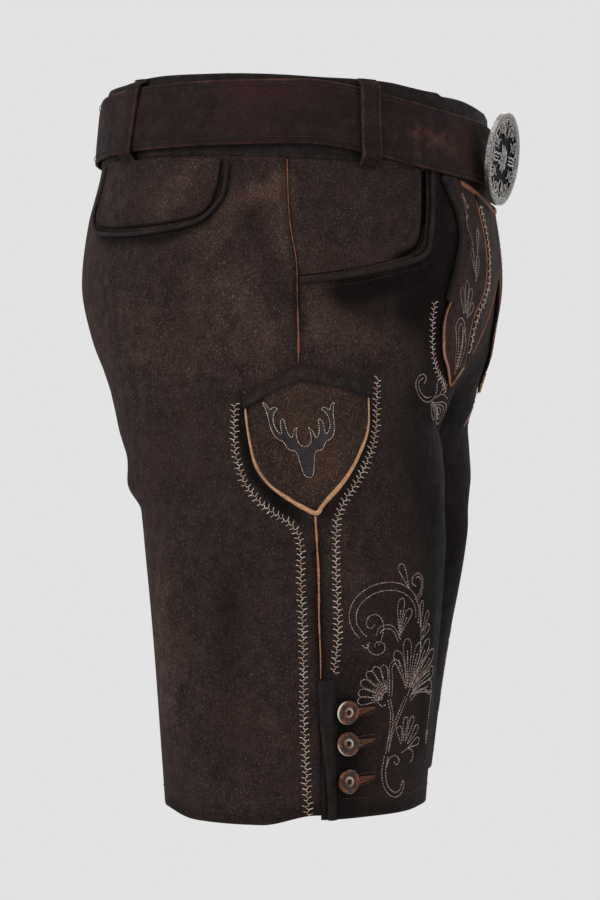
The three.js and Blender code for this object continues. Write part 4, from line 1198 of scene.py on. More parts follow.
def beads(starts, ends, outs, radius, sag, sides=5):
    # capsules from starts to ends; sag pulls their ends down into the leather
    along = ends - starts
    length = np.linalg.norm(along, axis=1, keepdims=True)
    along = along / np.maximum(length, 1e-9)
    across = np.cross(along, outs)
    across /= np.maximum(np.linalg.norm(across, axis=1, keepdims=True), 1e-9)
    outs = np.cross(across, along)
    stations = [(0.0, 0.45, -sag), (0.18, 0.95, 0.0), (0.82, 0.95, 0.0), (1.0, 0.45, -sag)]
    angle = np.linspace(0, 2 * np.pi, sides, endpoint=False)
    rings = []
    for share, size, drop in stations:
        centre = starts + (ends - starts) * share + outs * drop
        ring = (centre[:, None] + across[:, None] * (np.cos(angle) * size * radius)[None, :, None]
                + outs[:, None] * (np.sin(angle) * size * radius)[None, :, None])
        rings.append(ring)
    vertices = np.stack(rings, 1).reshape(-1, 3)
    base = []
    for ring in range(len(stations) - 1):
        for k in range(sides):
            a, b = ring * sides + k, ring * sides + (k + 1) % sides
            base.append((a, b, b + sides, a + sides))
    last = (len(stations) - 1) * sides
    caps = [tuple(range(sides))[::-1], tuple(range(last, last + sides))]
    each = len(stations) * sides
    faces = []
    for i in range(len(starts)):
        start = i * each
        faces.extend(tuple(v + start for v in face) for face in base)
        faces.extend(tuple(v + start for v in face) for face in caps)
    return vertices, faces


def stitchLine(side, path, pitch, fill, lift, jitter=0.0):
    # stitches along a path of (s, z) points; returns their starts, ends and outward directions
    route = evenPath(path, pitch)
    first, second = route[:-1], route[1:]
    gap = (1 - fill) / 2
    a = first + (second - first) * gap
    b = second - (second - first) * gap
    a = a + rng.normal(size=a.shape) * jitter
    b = b + rng.normal(size=b.shape) * jitter
    start, out = onLeather(side, a[:, 0], a[:, 1], lift)
    end, _ = onLeather(side, b[:, 0], b[:, 1], lift)
    return start, end, out


def threadPiece(name, rows, radius, material, slotName="tan_edge"):
    starts, ends, outs = (np.concatenate([row[k] for row in rows]) for k in range(3))
    vertices, faces = beads(starts, ends, outs, radius, radius * 0.7)
    piece = putInScene(name, vertices, faces, material)
    return finishPiece(piece, slotName)


feather = {"pitch": 3.95, "half": 3.3, "drop": 2.3, "spine": 0.6, "radius": 0.31}


def featherStitch(side, path, lift, half=None, flip=1, pitch=None):
    # a zigzag spine with an arm to each side by turns
    half = half or feather["half"]
    route = evenPath(path, (pitch or feather["pitch"]) / 2)
    along = np.gradient(route, axis=0)
    along /= np.linalg.norm(along, axis=1, keepdims=True)
    normal = np.stack([-along[:, 1], along[:, 0]], 1)
    turn = np.where(np.arange(len(route)) % 2 == 0, 1.0, -1.0)[:, None] * flip
    wobble = rng.normal(size=(len(route), 2)) * 0.12
    outer = route + normal * turn * half * (1 + 0.1 * rng.normal(size=(len(route), 1))) + wobble
    inner = route + along * feather["drop"] - normal * turn * feather["spine"] + wobble
    rows = []
    for a, b in ((outer, route + (inner - route) * 0.45 + normal * turn * 0.6),
                 (outer[:-1] * 0.35 + inner[:-1] * 0.65, inner[1:] * 0.2 + inner[:-1] * 0.8)):
        start, out = onLeather(side, a[:, 0], a[:, 1], lift)
        end, _ = onLeather(side, b[:, 0], b[:, 1], lift)
        rows.append((start, end, out))
    return rows


def acrossPath(points):
    # (c, z) points, c from the middle of the front, turned into (s, z)
    return [(float(fromMiddle(c, z)), z) for c, z in points]


def legFeathers(side):
    left = [(-46, -204), (-50, -223), (-51, -240), (-48, -258), (-39, -272), (-28, -281), (-17, -289),
            (-12, -300), (-12, -330), (-11.5, -370), (-12, -410), (-11, -450), (-9.5, -488)]
    right = [(57, -186), (54, -206), (49, -227), (41, -244), (31, -259), (22, -271), (15.5, -283), (13, -300),
             (12.5, -327), (13, -361), (10, -390)]
    if side == leftSide:
        left = [(-11, -200), (-11.5, -260), *left[7:]]
        right = [(11, -190), (11.5, -250), *right[7:]]
    rows = featherStitch(side, left, 0.35) + featherStitch(side, right, 0.35, flip=-1)
    flapLine = [(131, -129), (133, -143), (132.5, -158), (129, -170), (120, -181), (102, -193)]
    return rows + featherStitch(side, acrossPath(flapLine), 0.35)


def flapFeathers(side):
    stripLevels = (-164, -156, -147, -136, -126, -116, -104, -92, -79, -69, -59, -52)
    line = [(innerReach(z) - 5.5, z) for z in stripLevels]
    return featherStitch(side, acrossPath(line), 3.2, half=3.9, pitch=5.4)


# the embroidered motifs are drawn flat with a few shapes, in millimetres

def arc(centre, size, start, stop, steps=22, turn=0.0):
    angle = np.radians(np.linspace(start, stop, steps))
    grow = np.linspace(1, turn or 1, steps)
    return [(centre[0] + size[0] * g * math.cos(a), centre[1] + size[1] * g * math.sin(a))
            for a, g in zip(angle, grow)]


def petal(base, tip, width, belly=0.62, hook=0.0):
    # an open teardrop from base round the tip and back
    base, tip = np.array(base, float), np.array(tip, float)
    along = tip - base
    length = np.hypot(*along)
    along /= length
    side = np.array([-along[1], along[0]])
    profile = [(0, 0), (0.3, 0.2), (belly, 0.42), (0.84, 0.5), (0.95, 0.32), (1, 0)]
    shape = [base + along * length * a + side * (width * b + hook * a * a) for a, b in profile]
    shape += [base + along * length * a + side * (-width * b + hook * a * a) for a, b in profile[-2::-1]]
    return [tuple(point) for point in shape]


def offsetPath(path, away):
    route = evenPath(path, 1.2)
    along = np.gradient(route, axis=0)
    along /= np.linalg.norm(along, axis=1, keepdims=True)
    moved = route + np.stack([-along[:, 1], along[:, 0]], 1) * away
    return [tuple(point) for point in moved[::3]]


def fan(base, tips, width, root=0.22, vein=0.0):
    base = np.array(base, float)
    shapes = [petal(base + (np.array(tip) - base) * root, tip, width, hook=hook) for *tip, hook in tips]
    if vein:
        for *tip, hook in tips:
            along = (np.array(tip) - base)
            side = np.array([-along[1], along[0]]) / np.hypot(*along)
            shapes.append([tuple(base + along * t + side * hook * t * t) for t in np.linspace(root, vein, 6)])
    return shapes


def legMotif():
    scroll = arc((52, -352), (31, 23), -18, 222, 26)
    inner = arc((52.5, -353), (26.5, 18.5), -6, 226, 24)
    curl = [(63, -370), (57, -361), (50, -358.5), (44, -360), (41, -366)]
    bend = [(43, -373), (46, -366), (47, -358), (43, -351.5), (36.5, -352), (33.5, -357.5), (37, -361),
            (40.5, -358)]
    spiral = arc((42.5, -373.5), (8.5, 7), 160, 560, 30, 0.28)
    paths = [scroll, inner, curl, offsetPath(curl, 2.6), bend, spiral, [(30, -372), (34, -374.5), (36, -370)]]
    paths.append(petal((71, -334), (63, -316), 6.5, hook=1.2))
    hook = [(79, -344), (87, -337), (88, -328), (82, -323.5), (75, -326), (74.5, -331), (79, -332.5)]
    paths += [hook, offsetPath(hook[:5], 2.4)]
    paths += fan((61.5, -368), [(62, -340, -2), (70.5, -347, -3)], 6.5, 0.05, 0.7)
    paths += [petal((85, -362), (88, -343), 5), petal((88, -366), (99, -351), 5),
              petal((88, -371), (101, -361), 5)]
    paths.append([(84, -346), (85.5, -356), (87, -368), (86, -380)])
    tulip = (70, -410)
    paths += fan(tulip, [(62, -376, 4), (71, -369, 1.5), (84, -372, -2), (98, -369, -4), (109, -376, -5),
                         (112, -389, -5), (110, -401, -4)], 8.6, 0.16, 0.8)
    paths += [[(70, -410), (78, -398), (88, -388), (99, -383)],
              [(73, -411), (84, -402), (96, -396), (105, -394)],
              [(74, -413), (86, -408), (98, -407), (106, -411)]]
    left = (50.5, -410)
    paths += fan(left, [(48.5, -386, 2), (41.5, -386.5, 2), (35.5, -389.5, 2), (30, -396, 1.5),
                        (27.5, -404, 1), (26.5, -411, 0)], 6.0, 0.16, 0.55)
    crown = [(52, -409), (52.5, -398), (52, -388), (57, -383), (62, -386), (60.5, -390.5)]
    paths += [crown, offsetPath(crown[:5], -2.6), [(42, -412), (46, -415.5), (49.5, -414)]]
    stem = [(51, -411), (53.5, -422), (52.5, -434), (49.5, -449)]
    branch = [(70, -411), (63, -422), (55.5, -436), (52, -448)]
    paths += [stem, offsetPath(stem, 2.2), branch, offsetPath(branch, -2.4)]
    paths += fan((65, -449), [(62.5, -430, 1), (70, -424, 0), (79, -424, -1), (88, -431, -1.5),
                              (91, -441, -1.5)], 5.6, 0.3)
    paths.append([(65, -449.5), (73, -447), (80, -449.5), (80.5, -455), (77, -457)])
    tail = [(48.5, -450), (46.5, -463), (50, -474), (58.5, -480), (67, -478), (70, -471)]
    paths += [tail, offsetPath(tail, 3.4), [(70, -471), (68, -468.5), (66.5, -473)]]
    paths.append([(51, -458), (53, -452.5), (58.5, -450.5), (63, -454), (60.5, -457.5), (57.5, -455)])
    paths += [[(112, -409), (109, -424), (106, -440)], petal((106, -447), (107, -437), 4),
              [(112, -409), (104, -411), (99, -408)]]
    return paths


def sprayMotif():
    # the hook and leaf cluster under the corner of the flap
    hook = [(103, -190), (106, -186.5), (101, -183), (95, -186), (94, -192), (99, -199), (108, -203),
            (118, -201), (123, -195), (122, -188), (128, -185), (134, -190), (129, -197)]
    paths = [hook, offsetPath(hook[2:8], 3.0)]
    paths += [petal((117, -203), (152, -213), 15, belly=0.55), petal((121, -204), (147, -212), 9, belly=0.55),
              petal((126, -206), (142, -211), 4, belly=0.55), petal((116, -204), (124, -215), 6),
              [(121, -200), (134, -197), (148, -200)]]
    return paths


def stripMotifs():
    # leaves up the strip of the flap, as (c, z)
    shapes = [petal((86, -48), (80, -56), 3), petal((83, -64), (88, -46), 3.2, hook=2),
              petal((80, -84), (86, -62), 4.5, hook=2),
              petal((74, -90), (66, -70), 4, hook=-2), petal((78, -108), (86, -86), 5, hook=3),
              petal((80, -112), (70, -92), 5, hook=-3)]
    shapes += fan((96, -142), [(104, -118, 2), (94, -112, 0), (85, -118, -2), (81, -130, -2)], 6)
    shapes += [petal((98, -182), (102, -140), 14, belly=0.72), petal((97, -176), (101, -144), 7, belly=0.7),
               [(96, -178), (95, -162), (98, -148)], [(92, -176), (90, -160), (94, -146)]]
    return shapes


def motifStitches(side, paths, lift, pitch=2.1, middle=False):
    rows = []
    for path in paths:
        if middle:
            path = acrossPath(path)
        rows.append(stitchLine(side, path, pitch, 0.76, lift, jitter=0.08))
    return rows


for side, word in ((rightSide, "right"), (leftSide, "left")):
    threadPiece(f"feather_stitch_{word}", legFeathers(side), feather["radius"], creamThread)
    threadPiece(f"flap_feather_stitch_{word}", flapFeathers(side), 0.33, creamThread)
    threadPiece(f"leg_embroidery_{word}", motifStitches(side, legMotif(), 0.22), 0.38, greyThread)
    threadPiece(f"spray_embroidery_{word}", motifStitches(side, sprayMotif(), 0.22), 0.38, greyThread)
    threadPiece(f"strip_embroidery_{word}", motifStitches(side, stripMotifs(), 3.0, middle=True), 0.34,
                greyThread)
print("embroidery made")


# stag's head: a suede patch held by a stitched outline

stagHalf = [(1.2, -25.5), (3.8, -24), (5.2, -20.5), (6.6, -14), (8, -8), (9.6, -4.6), (15, -3.4),
            (18, -0.2), (20.4, 3.4), (25.4, 5.6), (28.6, 9.5), (30.6, 16), (31.2, 24), (32.4, 30),
            (34.4, 34.4), (30.6, 32.4), (28.6, 28), (24.6, 30.4), (20.4, 29.2), (24.2, 26.4), (26.6, 21),
            (26.2, 15), (23.4, 10.6), (20.4, 9), (20.6, 14.6), (19.4, 19.6), (16.4, 21.4), (15.8, 15.6),
            (14.4, 9.4), (11.4, 5.8), (9.4, 10.4), (5.4, 14.8), (6.8, 9.8), (6.4, 4), (4, 0.4), (0.4, -1)]
stag = {"s": -2.2, "z": -234.2, "wide": 0.7, "tall": 0.87, "low": 3.2, "high": 4.5}


def stagOutline():
    half = [(a * stag["wide"], b * stag["tall"]) for a, b in stagHalf]
    mirrored = [(-a, b) for a, b in reversed(half)]
    return evenPath([*half, *mirrored[1:]], 0.8)


def stagHead():
    outline = stagOutline()
    ring = [Vector((x, y)) for x, y in outline[:-1]]
    filled = delaunay_2d_cdt(ring, [], [list(range(len(ring)))], 1, 1e-5)
    outline = np.array([tuple(v) for v in filled[0]][:len(ring)] + [tuple(filled[0][0])])
    flat = [list(f) for f in filled[2]]
    points = outline[:-1]
    top, _ = onLeather(rightSide, stag["s"] + points[:, 0], stag["z"] + points[:, 1], stag["high"])
    low, _ = onLeather(rightSide, stag["s"] + points[:, 0], stag["z"] + points[:, 1], stag["low"])
    count = len(points)
    faces = [tuple(f) for f in flat] + [tuple(i + count for i in reversed(f)) for f in flat]
    faces += [(i + count, (i + 1) % count + count, (i + 1) % count, i) for i in range(count)]
    piece = putInScene("stag_patch", np.concatenate([top, low]), faces, suedeSkin, flat=range(len(flat) * 2))
    turnOut(piece)
    finishPiece(piece, "suede", "stag_head")
    path = [(stag["s"] + x, stag["z"] + y) for x, y in outline[::2]]
    rows = [stitchLine(rightSide, path, 1.6, 0.66, stag["high"] + 0.2, jitter=0.05)]
    threadPiece("stag_stitch", rows, 0.3, creamThread)


stagHead()


# seams and hems: dark rows of machine stitches

def seamRows(side):
    rows = []
    lift = 0.1
    mouthRow = [(s + 7.5, z - 8.5) for s, z in pocketMouthPoints[1:-1]]
    lines = [mouthRow, [(9.5, slitTop), (12, -440), (13.5, -478)],
             [(14, hemLevel + 18), (80, hemLevel + 17), (150, hemLevel + 17), (220, hemLevel + 17)],
             [(-4, hemLevel + 17), (-90, hemLevel + 17), (-180, hemLevel + 17), (-270, hemLevel + 17)],
             [(-4, -34), (-4, -110), (-4, -190)]]
    for path in lines:
        rows.append(stitchLine(side, path, 3.0, 0.72, lift))
    for away in (3.5, 8.0):
        path = [(-float(backLength(z)) + away, z) for z in range(-36, -236, -8)]
        rows.append(stitchLine(side, path, 3.0, 0.72, lift))
    return rows


for side, word in ((rightSide, "right"), (leftSide, "left")):
    threadPiece(f"seam_stitches_{word}", seamRows(side), 0.28, darkThread, slotName="leather_dark")

edgeRows = []
shieldRow = [(s + 6, z) for z, s in shieldLeft[:1:-1]] + [(0.5, shield["foot"] + 8)]
shieldRow += [(s - 6, z) for z, s in shieldRight[2:]]
edgeRows.append(stitchLine(rightSide, shieldRow, 2.6, 0.7, 4.0))
bandRow = [(s, float(shieldTop(s)) - shield["band"] - 0.8) for s in np.linspace(-36, 44, 30)]
edgeRows.append(stitchLine(rightSide, bandRow, 2.6, 0.7, 4.1))
threadPiece("knife_pocket_stitches", edgeRows, 0.28, darkThread, slotName="leather_dark")

pocketRows = [stitchLine(rightSide, [(-171, -44), (-178, -63), (-172, -73), (-150, -77), (-118, -77.5),
                                     (-88, -75), (-66, -70), (-56, -60), (-52, -40)], 2.8, 0.7, 2.3)]
threadPiece("back_pocket_stitches", pocketRows, 0.28, darkThread, slotName="leather_dark")

beltStitches = []
for rise in (-belt["width"] / 2 + 4.2, belt["width"] / 2 - 4.2):
    line = beltRow(rise, belt["lift"] + belt["thickness"] + 0.1, 3.2)
    middle = (line[1:] + line[:-1]) / 2
    out = middle * np.array([1, 1, 0])
    out /= np.linalg.norm(out, axis=1, keepdims=True)
    beltStitches.append((line[:-1] + (line[1:] - line[:-1]) * 0.15, line[:-1] + (line[1:] - line[:-1]) * 0.85,
                         out))
threadPiece("belt_stitches", beltStitches, 0.3, darkThread, slotName="belt")
print("stitching made")


# leg slits with their plackets, buttonholes and horn buttons

placket = {"top": slitTop, "foot": hemLevel + 3.4, "inner": 11.0, "low": 0.55, "high": 2.0}
buttonLevels = [-418, -440, -466]
button = {"s": 18.0, "lift": 2.6}
buttonhole = {"from": 28.5, "to": 40.0}


def legPlacket(side, word):
    climb = closePacked(placket["top"] - placket["foot"], 1.8, rimSteps)
    share = closePacked(9, 0.7, (0, 0.35, 0.8, 1.5))
    z = np.repeat((placket["foot"] + climb * (placket["top"] - placket["foot"]))[:, None], len(share), 1)
    edge = (4.5 - 7 * climb + 0.7 * np.sin(climb * 7))[:, None]
    s = edge + share[None, :] * (placket["inner"] - edge)
    rim = np.minimum(share[None, :] * (placket["inner"] - edge), 9)
    inner = (1 - share[None, :]) * (placket["inner"] - edge)
    high = placket["high"] + 0.9 * hump(rim, 2, 1.8) + edgeFall(rim, 1.0, 1.7)
    high -= 1.2 * smooth(3.5, 0, inner)
    # darker towards the slit: painted shade, over an evenly darker tone
    marks = {"worn": 0.2 * hump(rim, 1.5, 1), "paintedShadeAndTone": 0.3 + 0.3 * smooth(4, 0, inner)}
    piece = leatherWall(f"slit_edge_{word}", side, s, z, placket["low"] + 0 * z, high, leatherDark, marks)
    finishPiece(piece, "leather_dark", f"placket_{word}")
    return piece


def legButtonhole(side, word, number, level):
    u = closePacked(buttonhole["to"] - buttonhole["from"] + 3, 0.8, (0, 0.3, 0.8))
    v = closePacked(6, 0.6, (0, 0.3, 0.8)) * 2 - 1
    reach = buttonhole["from"] - 3 + u * (buttonhole["to"] - buttonhole["from"] + 3)
    taper = 1 - 0.62 * u ** 1.5
    s = np.repeat(reach[None, :], len(v), 0)
    z = level + 0.8 + 2.2 * (u[None, :] - 0.5) + v[:, None] * 2.5 * taper[None, :]
    slot = hump(v[:, None], 0, 0.22)
    rim = (1 - np.abs(v))[:, None] * 2.5 * taper[None, :]
    high = 1.3 - 0.9 * slot + edgeFall(np.minimum(rim, (1 - u)[None, :] * 14), 0.6, 0.9)
    piece = leatherWall(f"buttonhole_edge_{word}_{number}", side, s, z, 0.55 + 0 * z, high, buttonholeSkin)
    finishPiece(piece, "tan_edge", f"buttonhole_{word}_{number}")
    rows = []
    for sign in (-1, 1):
        path = [(25.5, level + sign * 3.6), (34, level + 1.4 + sign * 3.8), (41, level + 2.4 + sign * 2.8)]
        rows.append(stitchLine(side, path, 1.35, 0.6, 0.25))
    rows.append(stitchLine(side, [(27, level + 0.2), (33, level + 1.2), (40.5, level + 2.6)], 1.5, 0.8, 1.5))
    return rows


buttonholeSkin = edgeFinish("buttonhole_binding", (112, 70, 44), (62, 40, 30), 0.6)


def selectNone():
    bpy.ops.object.select_all(action="DESELECT")
    for piece in bpy.context.selected_objects:
        piece.select_set(False)


def active(piece):
    selectNone()
    piece.select_set(True)
    bpy.context.view_layer.objects.active = piece


def spunButton():
    # the outline of half a button is spun into a disc with a raised rim, a groove and a hollow middle
    profile = [(1.1, -1.9), (1.3, 0.0), (7.4, 0.05), (8.0, 0.5), (8.35, 1.4), (8.3, 2.3), (7.9, 3.1),
               (7.3, 3.4), (6.7, 3.35), (6.1, 2.9), (5.5, 2.35), (4.4, 2.1), (3.7, 2.2), (3.25, 2.75),
               (2.7, 3.0), (2.2, 2.85), (1.75, 2.2), (1.2, 1.0), (0.7, 0.75)]
    selectNone()
    bpy.ops.mesh.primitive_plane_add(size=1, location=(0, 0, 0))
    piece = bpy.context.object
    piece.name = "horn_button"
    work = bmesh.new()
    line = [work.verts.new((x, 0, z)) for x, z in profile]
    for a, b in zip(line, line[1:]):
        work.edges.new((a, b))
    bmesh.ops.spin(work, geom=work.verts[:] + work.edges[:], cent=(0, 0, 0), axis=(0, 0, 1), steps=36,
                   angle=math.tau, use_duplicate=False)
    bmesh.ops.remove_doubles(work, verts=work.verts, dist=1e-4)
    holes = [e for e in work.edges if e.is_boundary]
    bmesh.ops.holes_fill(work, edges=holes, sides=0)
    bmesh.ops.recalc_face_normals(work, faces=work.faces)
    work.to_mesh(piece.data)
    work.free()
    piece.data.polygons.foreach_set("use_smooth", np.ones(len(piece.data.polygons), bool))
    return piece


def seatButton(master, side, word, number, level):
    piece = master.copy()
    piece.data = master.data.copy()
    piece.name = f"horn_button_{word}_{number}"
    bpy.context.scene.collection.objects.link(piece)
    seat, out = onLeather(side, button["s"], level, button["lift"])
    along, _ = onLeather(side, button["s"] + 2, level, button["lift"])
    u = Vector(along - seat).normalized()
    w = Vector(out).normalized()
    v = w.cross(u).normalized()
    u = v.cross(w)
    tip = Matrix.Rotation(math.radians([11, 8, 13][number - 1]), 4, "Y") @ Matrix.Rotation(
        math.radians([6, -7, -3][number - 1]), 4, "X") @ Matrix.Rotation(number * 1.3, 4, "Z")
    frameTurn = Matrix((u, v, w)).transposed().to_4x4()
    place = Matrix.Translation(Vector(seat) * mm) @ frameTurn @ tip @ Matrix.Scale(mm, 4)
    heights = np.array([v.co for v in piece.data.vertices])
    radius = np.hypot(heights[:, 0], heights[:, 1])
    # rim marks the groove round the nub and the hole in the middle, made darker as painted shade
    rim = hump(radius, 5.0, 1.0) * (heights[:, 2] > 1) + (radius < 1.7) * (heights[:, 2] > 0)
    angle = np.arctan2(heights[:, 1], heights[:, 0])
    aboutHole = hump(radius, 2.8, 0.6) * (heights[:, 2] > 1.2)
    paintedHighlightWall = smooth(7.6, 8.1, radius) * smooth(3.2, 2.6, heights[:, 2])
    pale = aboutHole * (0.45 + 0.4 * np.cos(angle + number))
    # painted highlight: the outer wall is made pale on one side
    pale += paintedHighlightWall * smooth(-0.4, 0.5, np.cos(angle - 2.2))
    for label, values in (("rim", rim), ("pale", pale)):
        layer = piece.data.attributes.new(label, "FLOAT", "POINT")
        layer.data.foreach_set("value", np.clip(values, 0, 1).astype(np.float32))
    piece.data.transform(place)
    piece.data.materials.append(hornSkin)
    return finishPiece(piece, "horn", f"button_{word}_{number}")


masterButton = spunButton()
masterButton.data.materials.clear()
for side, word in ((rightSide, "right"), (leftSide, "left")):
    legPlacket(side, word)
    holeRows = []
    for number, level in enumerate(buttonLevels, 1):
        holeRows += legButtonhole(side, word, number, level)
        seatButton(masterButton, side, word, number, level)
    threadPiece(f"buttonhole_stitches_{word}", holeRows, 0.24, brownThread)
bpy.data.objects.remove(masterButton)
print("buttons made")


# belt buckle: an oval plate with a roped rim, scrolls and an edelweiss, made flat, then put in its place

buckle = {"x": -37.0, "y": -157.5, "z": -21.0, "half": 42.0, "rise": 34.3, "turn": 9.0, "lean": 8.0,
          "ropeTurns": 78, "petals": 9}
plateSteps = ((0.03, 0.0), (0.015, -0.12), (0.075, 0.0), (0.012, 0.12), (0.022, 0.0), (0.012, -0.6),
              (0.35, 0.02), (0.25, 0.02))  # insets of the plate's face, each with its rise
bucklePieces = []


def flatPlate():
    # made lying on the floor plane: x across, y up the buckle, z out of the wearer
    selectNone()
    bpy.ops.mesh.primitive_cylinder_add(vertices=96, radius=1, depth=1, location=(0, 0, 0.5))
    piece = bpy.context.object
    bpy.ops.object.transform_apply(location=True, rotation=True, scale=True)
    bpy.ops.object.mode_set(mode="EDIT")
    bpy.ops.mesh.select_all(action="DESELECT")
    bpy.ops.object.mode_set(mode="OBJECT")
    for face in piece.data.polygons:
        face.select = face.normal.z > 0.9
    bpy.ops.object.mode_set(mode="EDIT")
    for thickness, rise in plateSteps:
        bpy.ops.mesh.inset(thickness=thickness, use_even_offset=True)
        bpy.ops.transform.translate(value=(0, 0, rise))
    bpy.ops.object.mode_set(mode="OBJECT")
    for vertex in piece.data.vertices:
        x, y, z = vertex.co
        vertex.co = (x * buckle["half"], y * buckle["rise"], z * 3.1)
    bucklePieces.append(piece)


def ropeRim():
    selectNone()
    bpy.ops.mesh.primitive_uv_sphere_add(segments=8, ring_count=6, radius=1)
    bead = bpy.context.object
    work = bmesh.new()
    for i in range(buckle["ropeTurns"]):
        angle = math.tau * i / buckle["ropeTurns"]
        x, y = math.cos(angle), math.sin(angle)
        lie = math.atan2(y * buckle["half"], x * buckle["rise"]) + math.radians(38)
        copy = bead.data.copy()
        copy.transform(Matrix.Translation((x * (buckle["half"] - 2.6), y * (buckle["rise"] - 2.6), 2.75))
                       @ Matrix.Rotation(lie, 4, "Z") @ Matrix.Diagonal((2.15, 0.98, 1.15, 1)))
        work.from_mesh(copy)
        bpy.data.meshes.remove(copy)
    work.to_mesh(bead.data)
    work.free()
    bucklePieces.append(bead)
    for inset, radius, height in ((0.7, 0.75, 2.4), (4.9, 0.6, 2.9), (6.3, 0.42, 2.3)):
        selectNone()
        bpy.ops.mesh.primitive_torus_add(major_radius=1, minor_radius=0.02, major_segments=96,
                                         minor_segments=8)
        ring = bpy.context.object
        for vertex in ring.data.vertices:
            x, y, z = vertex.co
            angle = math.atan2(y, x)
            away = (math.hypot(x, y) - 1) / 0.02 * radius
            nx, ny = math.cos(angle), math.sin(angle)
            vertex.co = (nx * (buckle["half"] - inset + away), ny * (buckle["rise"] - inset + away),
                         height + z / 0.02 * radius)
        bucklePieces.append(ring)


def metalLine(path, radius, height, taper=0.55):
    route = np.array(evenPath(path, 0.9))
    count = len(route)
    share = np.arange(count) / (count - 1)
    size = radius * (taper + (1 - taper) * np.sin(np.pi * np.clip(share * 0.9 + 0.08, 0, 1)) ** 0.6)
    points = np.column_stack([route, np.full(count, height)])
    normals = np.tile([0.0, 0.0, 1.0], (count, 1))
    return tubeAlong(points, normals, size, 8, 0.9)


def scrollWork():
    parts = []

    def four(path, radius, height, taper=0.4):
        for sx, sy in ((1, 1), (-1, 1), (1, -1), (-1, -1)):
            parts.append(metalLine([(x * sx, y * sy) for x, y in path], radius, height, taper))

    four(arc((25.5, 9.5), (7.5, 7.5), -120, 320, 26, 0.24), 0.95, 2.2)
    four([(12, 3.5), (16, 2.2), (21, 3.0), (25, 2.4), (30, 1.6), (33.5, 2.6)], 0.8, 2.2)
    four(arc((12.5, 20.5), (6.4, 5.8), 210, -170, 24, 0.26), 0.9, 2.2)
    four([(2.2, 15.5), (4.5, 20), (3.0, 25.5), (6.0, 27.5)], 0.85, 2.2)
    four([(19.5, 15.5), (20.5, 20.5), (25.0, 21.6), (29, 18.5), (31, 14.0)], 0.75, 2.15)
    four([(33.5, 4.5), (35.0, 8.0), (33.8, 11.5)], 0.8, 2.1)
    four([(13.5, 13), (17.0, 12.2), (18.5, 8.5), (16.5, 6.0)], 0.7, 2.1)
    four(petal((24, 10), (29.5, 12.5), 4.2), 0.45, 2.7, 0.8)
    four(petal((9.5, 19), (14.5, 23.5), 4.0), 0.45, 2.7, 0.8)
    four(petal((2.5, 27.8), (9.0, 27.0), 2.4), 0.45, 2.5, 0.8)
    for sx in (-1, 1):
        parts.append(metalLine([(sx * 13, 0), (sx * 20, 0), (sx * 27, 0), (sx * 35, 0)], 0.6, 2.1))
    bucklePieces.append(rawPiece("scrolls", *joinGeometry(parts)))


def rawPiece(name, vertices, faces):
    mesh = bpy.data.meshes.new(name)
    mesh.from_pydata(np.asarray(vertices).tolist(), [], faces)
    piece = bpy.data.objects.new(name, mesh)
    bpy.context.scene.collection.objects.link(piece)
    return piece


def edelweiss():
    selectNone()
    bpy.ops.mesh.primitive_uv_sphere_add(segments=12, ring_count=8, radius=1)
    leaf = bpy.context.object
    work = bmesh.new()
    for ring, count, reach, width, height in ((0, buckle["petals"], 12.5, 1.95, 2.2),
                                              (1, buckle["petals"], 8.2, 1.6, 3.0)):
        for i in range(count):
            angle = math.tau * (i + 0.5 * ring) / count
            long = reach * (1 + 0.08 * math.sin(i * 2.7 + ring))
            copy = leaf.data.copy()
            for vertex in copy.vertices:
                x, y, z = vertex.co
                share = (x + 1) / 2
                pinch = 0.35 + 0.65 * math.sin(math.pi * min(share * 0.9 + 0.1, 1)) ** 0.8
                vertex.co = (1.5 + share * (long - 1.5), y * width * pinch,
                             z * 0.75 + height - 0.8 * share ** 2 - 0.5 * (1 - abs(y)) * (z > 0))
            copy.transform(Matrix.Rotation(angle, 4, "Z"))
            work.from_mesh(copy)
            bpy.data.meshes.remove(copy)
    for ring, count, reach in ((0, 1, 0), (1, 6, 1.75), (2, 11, 3.2)):
        for i in range(count):
            angle = math.tau * i / count
            copy = leaf.data.copy()
            size = 0.85 if ring < 2 else 0.7
            copy.transform(Matrix.Translation((reach * math.cos(angle), reach * math.sin(angle),
                                               3.5 - 0.2 * ring))
                           @ Matrix.Diagonal((size, size, size, 1)))
            work.from_mesh(copy)
            bpy.data.meshes.remove(copy)
    work.to_mesh(leaf.data)
    work.free()
    bucklePieces.append(leaf)


def placeBuckle(piece):
    turn = (Matrix.Translation((buckle["x"] * mm, buckle["y"] * mm, buckle["z"] * mm))
            @ Matrix.Rotation(math.radians(-buckle["turn"]), 4, "Z")
            @ Matrix.Rotation(math.radians(buckle["lean"]), 4, "X")
            @ Matrix.Rotation(math.radians(90), 4, "X") @ Matrix.Scale(mm, 4))
    piece.data.transform(turn)


